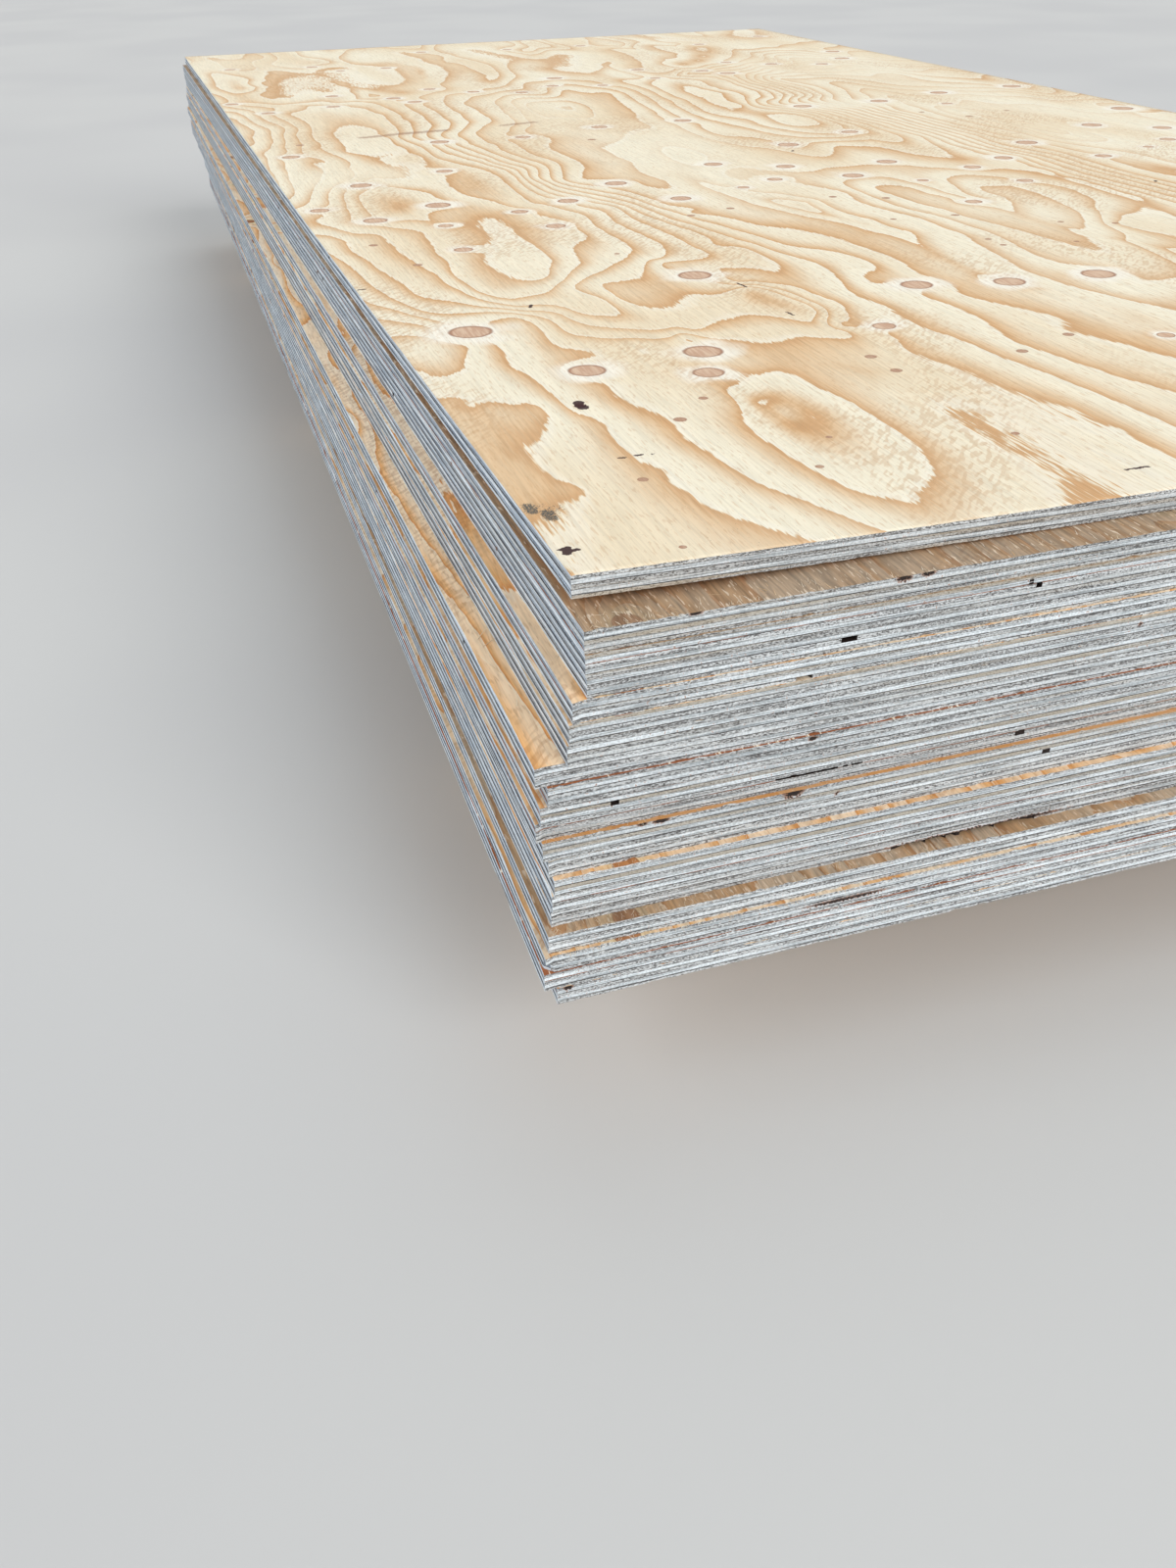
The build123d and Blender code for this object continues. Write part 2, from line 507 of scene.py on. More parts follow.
def makeSideGrain(name, colours):
    material, tree, shader, position = newMaterial(name)
    grain = useGroup(tree, sawnSideGrain, {"Position": position})
    tone = attributeOf(tree, "plyTone")
    warmth = plus(tree, times(tree, tone, 0.4), grain["Drift"])
    colour = layered(
        tree, colours["dark"],
        (soften(tree, grain["Streak"], 0.36, 0.58), colours["light"]),
        (soften(tree, warmth, 0.74, 1.0, 0.0, 0.40), colours["warm"]),
    )
    colour = shadeBy(tree, colour, soften(tree, tone, 0.0, 1.0, 1.03, 0.84))
    colour = shadeBy(tree, colour, soften(tree, grain["Fuzz"], 0.32, 0.64, colours["fuzz"], 1.04))
    colour = layered(tree, colour, (times(tree, grain["Split"], 0.65), edgeColours["glue"]["dark"]))
    colour = stainAndGapShadeEdge(tree, colour, grain["Fuzz"])
    roughness = soften(tree, grain["Fuzz"], 0.2, 0.8, 0.9, 0.75)
    finishSurface(tree, shader, colour, roughness, grain["Streak"], 0.0006, 0.8)
    return material


def makeGlueLine(colours):
    material, tree, shader, position = newMaterial("glueLine")
    tone = attributeOf(tree, "plyTone")
    broken = drawnOutNoise(tree, position, (36.0, 36.0, 500.0), 2.0, 0.65)
    rusty = times(tree, soften(tree, tone, 0.94, 0.96), soften(tree, broken, 0.42, 0.52, 0.0, 0.7))
    colour = layered(
        tree, colours["dark"],
        (soften(tree, broken, 0.44, 0.66), colours["pale"]),
        (rusty, colours["rust"]),
    )
    colour = stainAndGapShadeEdge(tree, colour, broken)
    finishSurface(tree, shader, colour, soften(tree, broken, 0.2, 0.8, 0.55, 0.85), broken, 0.0004)
    return material


sheetMaterials = [
    makeFaceVeneer(goldenColours),
    makeEndGrain("endGrainShortSide", edgeColours["shortEnd"]),
    makeSideGrain("sideGrainShortSide", edgeColours["shortSide"]),
    # the long sides' materials carry painted shade and cool light
    makeEndGrain("shadedEndGrainLongSide", edgeColours["shadedLongEnd"]),
    makeSideGrain("shadedSideGrainLongSide", edgeColours["shadedLongSide"]),
    makeGlueLine(edgeColours["glue"]),
    makeTopVeneer(veneerColours),
]
faceSlot, endSlot, sideSlot, glueSlot, topSlot = 0, 1, 2, 5, 6      # their places in that list
longSideShift = 2                                   # from the short sides' grain to the long sides'
print("wood materials made")


def addPiece(name, points, faces, materials, carried):
    # an object from points in metres, with the named values that its points carry
    mesh = bpy.data.meshes.new(name)
    mesh.from_pydata(points.tolist(), [], faces)
    for key, values in carried.items():
        layer = mesh.attributes.new(key, "FLOAT", "POINT")
        layer.data.foreach_set("value", np.array(values, np.float32))
    for material in materials:
        mesh.materials.append(material)
    mesh.update()
    piece = bpy.data.objects.new(name, mesh)
    bpy.context.scene.collection.objects.link(piece)
    return piece


# Sheets: the CAD gives each one's place, this gives the sawn and torn edges. All in mm
topSheet = 20
plyCount = 5
sheetSettings = {
    "plyLevels": [0.0, 2.0, 4.667, 7.333, 10.0, 12.0],
    "lowRows": (0.4, 1.1),                           # heights of extra rows of points near the arrises
    "highRows": (10.9, 11.6),
    "glueHalf": 0.17,
    "crossPlyRecess": 0.4,
    "longPlyRecess": 0.04,
    "edgeSteps": {"near": (1.6, 5.0), "right": (12.0, 12.0), "far": (10.0, 10.0), "left": (2.0, 12.0)},
    "cornerFade": 5.0,                               # how near a corner the edge gets smooth
    "cornerRoughness": 0.12,                         # what share of its roughness is left there
    "undersideStep": 34.0,
    "endGrainRoughness": 0.30,
    "sideGrainRoughness": 0.16,
    "longSideShare": 0.6,                            # of that roughness, on the long sides
    "endWave": 14.0,                                 # wavelength of the saw's line in each kind of grain
    "sideWave": 60.0,
    "lineShare": 0.5,                                # of the roughness that is the saw's line
    "fibreShare": 0.7,                               # and that is loose fibre
    "shortTears": (45, (2.0, 9.0), (0.3, 1.5)),      # how many a metre, length, depth
    "longTears": (7, (15.0, 70.0), (0.3, 0.9)),
    "tearDepths": (0.3, 1.0),                        # shares of that depth
    "tearShares": (1.0, 0.6, 0.25),                  # at the arris and in the two rows next to it
    "topTearShare": 0.4,                             # of a tear's depth, on the top sheet
    "chanceGaps": {"perMetre": 0.6, "plies": (2, 5), "lengths": (2.0, 7.0), "depths": (1.2, 4.0),
                   "fromEnds": (30, 60)},
    # the gap's stain value paints its inside with the dark resin colour: painted shade in the recess
    "gapShape": {"lip": 0.4, "endStep": 0.5, "taper": 0.12, "shallowest": 0.35, "longFrom": 20,
                 "slivers": 0.08, "sliverDepth": 0.25, "unevenness": 0.3, "stain": 60.0},
    "nearGaps": [
        # sheet, ply from below, start, length, depth
        (10, 4, 134.0, 37.0, 16.0), (10, 4, 174.0, 3.0, 5.0), (10, 4, 179.0, 7.0, 7.0),
        (5, 1, 205.0, 96.0, 5.0), (17, 3, 134.0, 9.0, 7.0), (16, 1, 118.0, 9.0, 7.0),
        (18, 3, 245.0, 3.5, 5.0),
    ],
    "nearSetBack": {19: 0.2, 16: 1.2, 15: 0.6, 13: 0.6, 10: 1.7, 8: 0.8, 5: 0.5, 3: 1.7},   # worn back
    "chanceStains": {"perMetre": 0.5, "heights": (1, 11), "lengths": (1.5, 6.0), "halfHeights": (0.2, 0.8),
                     "fromEnds": (20, 30)},
    "nearStains": [
        # sheet, height, start, length, half height
        (19, 10.9, 162.0, 9.0, 1.0), (19, 11.6, 176.0, 8.0, 1.2), (9, 11.4, 52.0, 5.0, 0.8),
        (9, 11.0, 60.0, 10.0, 0.8), (9, 9.6, 135.0, 11.0, 1.6), (19, 11.8, 52.0, 7.0, 0.7),
        (10, 8.4, 124.0, 9.0, 0.2), (9, 11.6, 134.0, 14.0, 0.6), (5, 2.0, 196.0, 130.0, 0.7),
        (3, 5.0, 150.0, 60.0, 0.7), (1, 11.0, 4.0, 5.0, 1.5),
    ],
    "leftStains": [
        (13, 11.4, 22.0, 6.0, 1.2), (12, 8.0, 60.0, 9.0, 1.4), (19, 6.0, 30.0, 4.0, 1.2),
        (19, 5.0, 260.0, 5.0, 1.2), (3, 8.0, 420.0, 12.0, 1.5), (16, 10.0, 700.0, 10.0, 1.6),
    ],
    "stainSpread": {"along": 0.9, "across": 0.8, "core": 1.25},
    "knockedCorner": {"sheet": 3, "reach": 7.0, "height": 5.5, "steepness": 0.5},
    "curl": {"lift": 6.0, "alongShort": 450.0, "alongLong": 1050.0},
    "lowSheetsPaintedLighter": {1: 0.1, 2: 0.1, 3: 0.2, 4: 0.3, 5: 0.5, 6: 0.6},    # sheets whose edges are painted lighter, as painted light against the shade near the floor
    # 0 to 1 is browner, partly painted shade where a strip lies under the sheet above, 1 to 2 rusty, below 0
    # amber
    "faceTones": {19: 0.95, 4: 0.8, 18: 0.9, 16: 0.04, 13: 0.0, 12: 1.9, 9: -0.85, 7: -0.25, 2: 1.9,
                  17: 0.8},
    "otherTones": 0.25,                              # the brownest of the other faces
    "undersideTone": 0.15,
    "seed": 41,
}


def outlineOf(nodeName):
    # near left corner, directions along the short and long edges, and their lengths, in mm
    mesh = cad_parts[nodeName].data
    points = np.array([v.co for v in mesh.vertices]) / mm
    flat = points[:, :2]
    corner = flat[np.argmin(flat.sum(1))]
    nearRight = flat[np.argmax(flat[:, 0] - flat[:, 1])]
    farLeft = flat[np.argmax(flat[:, 1] - flat[:, 0])]
    short = np.linalg.norm(nearRight - corner)
    long = np.linalg.norm(farLeft - corner)
    alongShort = (nearRight - corner) / short
    alongLong = np.array([-alongShort[1], alongShort[0]])
    return corner, alongShort, alongLong, short, long, points[:, 2].min()


def wander(distance, wavelength, draw):
    # smooth random line, -1 to 1
    count = int(distance.max() / wavelength) + 3
    return np.interp(distance / wavelength, np.arange(count), draw.uniform(-1, 1, count))


def edgePositions(length, fine, coarse, extra):
    # places along an edge, further apart towards its end, with the extra ones worked in
    lastStep, tooNear = 0.6 * fine, 0.35
    positions = [0.0]
    while positions[-1] < length:
        positions.append(positions[-1] + fine + (coarse - fine) * positions[-1] / length)
    positions = [p for p in positions if p < length - lastStep]
    for p in extra:
        positions = [q for q in positions if abs(q - p) > tooNear or q == 0.0] + [p]
    return np.array(sorted(positions))


def edgeRows(settings):
    # heights across the edge, with the ply that each belongs to
    levels, glue = settings["plyLevels"], settings["glueHalf"]
    between = {0: settings["lowRows"], plyCount - 1: settings["highRows"]}
    rows = []
    for ply in range(plyCount):
        low = levels[ply] + (glue if ply else 0)
        high = levels[ply + 1] - (glue if ply < plyCount - 1 else 0)
        rows += [(height, ply) for height in (low, *between.get(ply, ()), high)]
    return rows


def tearsAlong(distance, kind, shares, draw):
    # bites out of a torn arris: how deep at each point
    perMetre, lengths, depths = kind
    depth = np.zeros_like(distance)
    for _ in range(int(perMetre * distance.max() / 1000)):
        middle = draw.uniform(0, distance.max())
        reach = draw.uniform(*lengths) / 2
        deep = draw.uniform(*depths) * draw.uniform(*shares)
        bite = np.clip(1 - np.abs(distance - middle) / reach, 0, 1) ** 0.5
        depth = np.maximum(depth, deep * bite)
    return depth


def stainsAlong(distance, heights, marks, spread):
    # how much each edge point is stained by marks of height, start, length and half height
    stain = np.zeros((len(heights), len(distance)))
    for height, start, length, halfHeight in marks:
        away = np.abs(distance - start - length / 2) / (length / 2 + spread["along"])
        across = np.abs(heights - height) / (halfHeight + spread["across"])
        mark = np.clip(spread["core"] - across[:, None] ** 2 - away[None, :] ** 2, 0, 1)
        stain = np.maximum(stain, mark)
    return stain


def curlLift(u, v, height, curl):
    # how high the curled corner carries a point that lies at this height in the sheet
    slant = math.hypot(curl["alongShort"], curl["alongLong"])
    reach = curl["alongShort"] * curl["alongLong"] / slant
    radius = reach ** 2 / (2 * curl["lift"])
    past = np.maximum(0.0, (1 - u / curl["alongShort"] - v / curl["alongLong"]) * reach)
    return radius - np.sqrt((radius - height) ** 2 - past ** 2) - height


def faultsAlong(side, number, length, settings, draw):
    # the gaps and stains of one edge: those that the settings place, then a few by chance
    gaps = [gap[1:] for gap in settings.get(side + "Gaps", []) if gap[0] == number]
    chance = settings["chanceGaps"]
    before, after = chance["fromEnds"]
    for _ in range(draw.poisson(chance["perMetre"] * length / 1000)):
        gaps.append((int(draw.integers(*chance["plies"])), draw.uniform(before, length - after),
                     draw.uniform(*chance["lengths"]), draw.uniform(*chance["depths"])))
    stains = [stain[1:] for stain in settings.get(side + "Stains", []) if stain[0] == number]
    chance = settings["chanceStains"]
    before, after = chance["fromEnds"]
    for _ in range(draw.poisson(chance["perMetre"] * length / 1000)):
        stains.append((draw.uniform(*chance["heights"]), draw.uniform(before, length - after),
                       draw.uniform(*chance["lengths"]), draw.uniform(*chance["halfHeights"])))
    return gaps, stains


def placesAlong(side, length, gaps, settings):
    # the edge's points, with two at each end of a gap
    step = settings["gapShape"]["endStep"]
    ends = [p for _, start, reach, _ in gaps
            for p in (start, start + step, start + reach - step, start + reach)]
    fine, coarse = settings["edgeSteps"][side]
    if side != "left":
        return edgePositions(length, fine, coarse, ends)
    # this edge runs towards the camera, so it is made backwards
    along = length - edgePositions(length, fine, coarse, [length - p for p in ends])[::-1]
    return np.insert(along[:-1], 0, 0.0)


def roughPlies(rows, along, shortSide, settings, draw):
    # how far in each row lies: the recess of the cross plies, the saw's line and loose fibre
    inward = np.zeros((len(rows), len(along)))
    endLines = [wander(along, settings["endWave"], draw) for _ in range(plyCount)]
    sideLines = [wander(along, settings["sideWave"], draw) for _ in range(plyCount)]
    for index, (_, ply) in enumerate(rows):
        ends = shortSide == (ply % 2 == 0)
        base = settings["crossPlyRecess" if ply % 2 else "longPlyRecess"]
        rough = settings["endGrainRoughness" if ends else "sideGrainRoughness"]
        rough *= 1.0 if shortSide else settings["longSideShare"]
        line = settings["lineShare"] * np.abs((endLines if ends else sideLines)[ply])
        inward[index] = base + rough * (line + settings["fibreShare"] * draw.random(len(along)))
    return inward


def openGap(inward, stain, rows, along, gap, shape, draw):
    # sets one ply back, less so at the gap's ends, with slivers of wood left across a long one, and paints
    # its inside dark as painted shade
    ply, start, reach, deep = gap
    inside = (along >= start + shape["lip"]) & (along <= start + reach - shape["lip"])
    count = inside.sum()
    fromEnd = np.minimum(along[inside] - start, start + reach - along[inside])
    share = np.clip(fromEnd / (shape["taper"] * reach), shape["shallowest"], 1)
    if reach > shape["longFrom"]:
        share = share * np.where(draw.random(count) < shape["slivers"], shape["sliverDepth"], 1.0)
    uneven = shape["unevenness"]
    for index, (_, rowPly) in enumerate(rows):
        if rowPly == ply - 1:
            inward[index, inside] = deep * share * (1 - uneven + uneven * draw.random(count))
            stain[index, inside] = shape["stain"]


def sheetEdge(number, short, long, settings, draw):
    # perimeter points by row: u, v and z of each, how stained, with painted shade inside the gaps, and which
    # side each belongs to
    rows = edgeRows(settings)
    heights = np.array([height for height, _ in rows])
    uAll, vAll, stainAndGapShadeAll, sideAll = [], [], [], []
    for sideIndex, side in enumerate(("near", "right", "far", "left")):
        shortSide = sideIndex % 2 == 0
        length = short if shortSide else long
        gaps, stains = faultsAlong(side, number, length, settings, draw)
        along = placesAlong(side, length, gaps, settings)
        inward = roughPlies(rows, along, shortSide, settings, draw)
        for arris in ((0, 1, 2), (-1, -2, -3)):
            kind = settings["shortTears" if shortSide else "longTears"]
            torn = tearsAlong(along, kind, settings["tearDepths"], draw)
            torn = torn * (settings["topTearShare"] if number == topSheet else 1.0)
            for row, share in zip(arris, settings["tearShares"]):
                inward[row] += torn * share
        if side == "near":
            inward += settings["nearSetBack"].get(number, 0.0)
        stain = stainsAlong(along, heights, stains, settings["stainSpread"])
        for gap in gaps:
            openGap(inward, stain, rows, along, gap, settings["gapShape"], draw)
        fromCorner = np.minimum(along, length - along)
        inward *= np.clip(fromCorner / settings["cornerFade"], settings["cornerRoughness"], 1)
        onward = np.tile(along, (len(rows), 1))
        u, v = {"near": (onward, inward), "right": (short - inward, onward),
                "far": (short - onward, long - inward), "left": (inward, long - onward)}[side]
        uAll.append(u)
        vAll.append(v)
        stainAndGapShadeAll.append(stain)
        sideAll += [sideIndex] * len(along)
    u, v = np.concatenate(uAll, 1), np.concatenate(vAll, 1)
    z = np.tile(heights[:, None], (1, u.shape[1]))
    knock = settings["knockedCorner"]
    if number == knock["sheet"]:
        bite = np.clip(knock["reach"] - u - v, 0, None) * (z < knock["height"]) * knock["steepness"]
        u, v = u + bite, v + bite
    return rows, u, v, z, np.concatenate(stainAndGapShadeAll, 1), sideAll


def faceGrid(short, long, spacing):
    # points over a face in offset rows, with the step that spacing gives for each row
    margin, farMargin, rowShare = 4.0, 3.0, 0.87
    points = []
    v, odd = margin, False
    while v < long - farMargin:
        step = spacing(v)
        offset = margin + (step / 2 if odd else 0)
        points += [(offset + step * k, v) for k in range(int((short - 2 * margin) / step))]
        v += step * rowShare
        odd = not odd
    return points


def filledFace(outline, inner, firstRing, firstNew):
    # triangles over an outline with inner points, by the mesh's own point numbers
    flat = [Vector((p[0], p[1])) for p in (*outline, *inner)]
    ringSize = len(outline)
    found = delaunay_2d_cdt(flat, [], [list(range(ringSize))], 1, 1e-5)
    given = [origin[0] for origin in found[3]]
    inMesh = [firstRing + k if k < ringSize else firstNew + k - ringSize for k in given]
    return [tuple(inMesh[k] for k in triangle) for triangle in found[2]]


def plainFace(outline, short, long, step, firstNew):
    # the top sheet's underside, on a wide net so that it can curl
    inner = faceGrid(short, long, lambda v: step)
    faces = filledFace(outline, inner, 0, firstNew)
    return np.array([(u, v, outline[0, 2]) for u, v in inner]), [face[::-1] for face in faces]


def buildSheet(number, settings, top=None):
    name = f"sheet_{number:02d}"
    draw = np.random.default_rng(settings["seed"] + number)
    corner, alongShort, alongLong, short, long, foot = outlineOf(name)
    rows, u, v, z, stains, sides = sheetEdge(number, short, long, settings, draw)
    count = u.shape[1]
    points = np.stack([u.ravel(), v.ravel(), z.ravel()], 1)
    faces, slots, tones = [], [], []
    # the lowest sheets' tones are cut, which paints their edges lighter: painted light against the shade
    # near the floor
    plyTones = draw.random((4, plyCount)) * settings["lowSheetsPaintedLighter"].get(number, 1.0)
    glueTones = draw.random((4, plyCount - 1))
    for row in range(len(rows) - 1):
        ply, nextPly = rows[row][1], rows[row + 1][1]
        low, high = row * count, (row + 1) * count
        for i, side in enumerate(sides):
            j = (i + 1) % count
            faces.append((low + i, low + j, high + j, high + i))
            if ply != nextPly:
                slots.append(glueSlot)
                tones.append(glueTones[side, ply])
            else:
                endGrain = (side % 2 == 0) == (ply % 2 == 0)
                slots.append((endSlot if endGrain else sideSlot) + (longSideShift if side % 2 else 0))
                tones.append(plyTones[side, ply])
    edgeCount = len(faces)
    topRow = (len(rows) - 1) * count
    faceTone = settings["faceTones"].get(number, settings["otherTones"] * draw.random())
    # these values carry real stains and, inside the gaps, painted shade
    carried = {"stain": (np.arange(stains.size), stains.ravel())}
    if top is None:
        faces += [tuple(range(topRow, topRow + count)), tuple(range(count - 1, -1, -1))]
        slots += [faceSlot, faceSlot]
        tones += [faceTone, settings["undersideTone"]]
    else:
        upper, upperFaces, drawn = top(points[topRow:topRow + count], short, long, len(points), topRow)
        carried.update(drawn)
        points = np.concatenate([points, upper])
        lower, lowerFaces = plainFace(points[:count], short, long, settings["undersideStep"], len(points))
        points = np.concatenate([points, lower])
        faces += upperFaces + lowerFaces
        slots += [topSlot] * len(upperFaces) + [faceSlot] * len(lowerFaces)
        tones += [faceTone] * (len(faces) - edgeCount)
        points[:, 2] += curlLift(points[:, 0], points[:, 1], points[:, 2], settings["curl"])
    placed = np.empty_like(points)
    placed[:, :2] = corner + points[:, :1] * alongShort + points[:, 1:2] * alongLong
    placed[:, 2] = foot + points[:, 2]
    pointValues = {}
    for key, (where, values) in carried.items():
        pointValues[key] = np.zeros(len(placed), np.float32)
        pointValues[key][where] = values
    piece = addPiece("plywoodSheet_" + name[-2:], placed * mm, faces, sheetMaterials, pointValues)
    mesh = piece.data
    mesh.polygons.foreach_set("material_index", slots)
    mesh.polygons.foreach_set("use_smooth", [i >= edgeCount and top is not None for i in range(len(faces))])
    toneLayer = mesh.attributes.new("plyTone", "FLOAT", "FACE")
    toneLayer.data.foreach_set("value", np.array(tones, np.float32))
    mesh.update()
    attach(piece, "root")
    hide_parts(name)
    return len(faces)
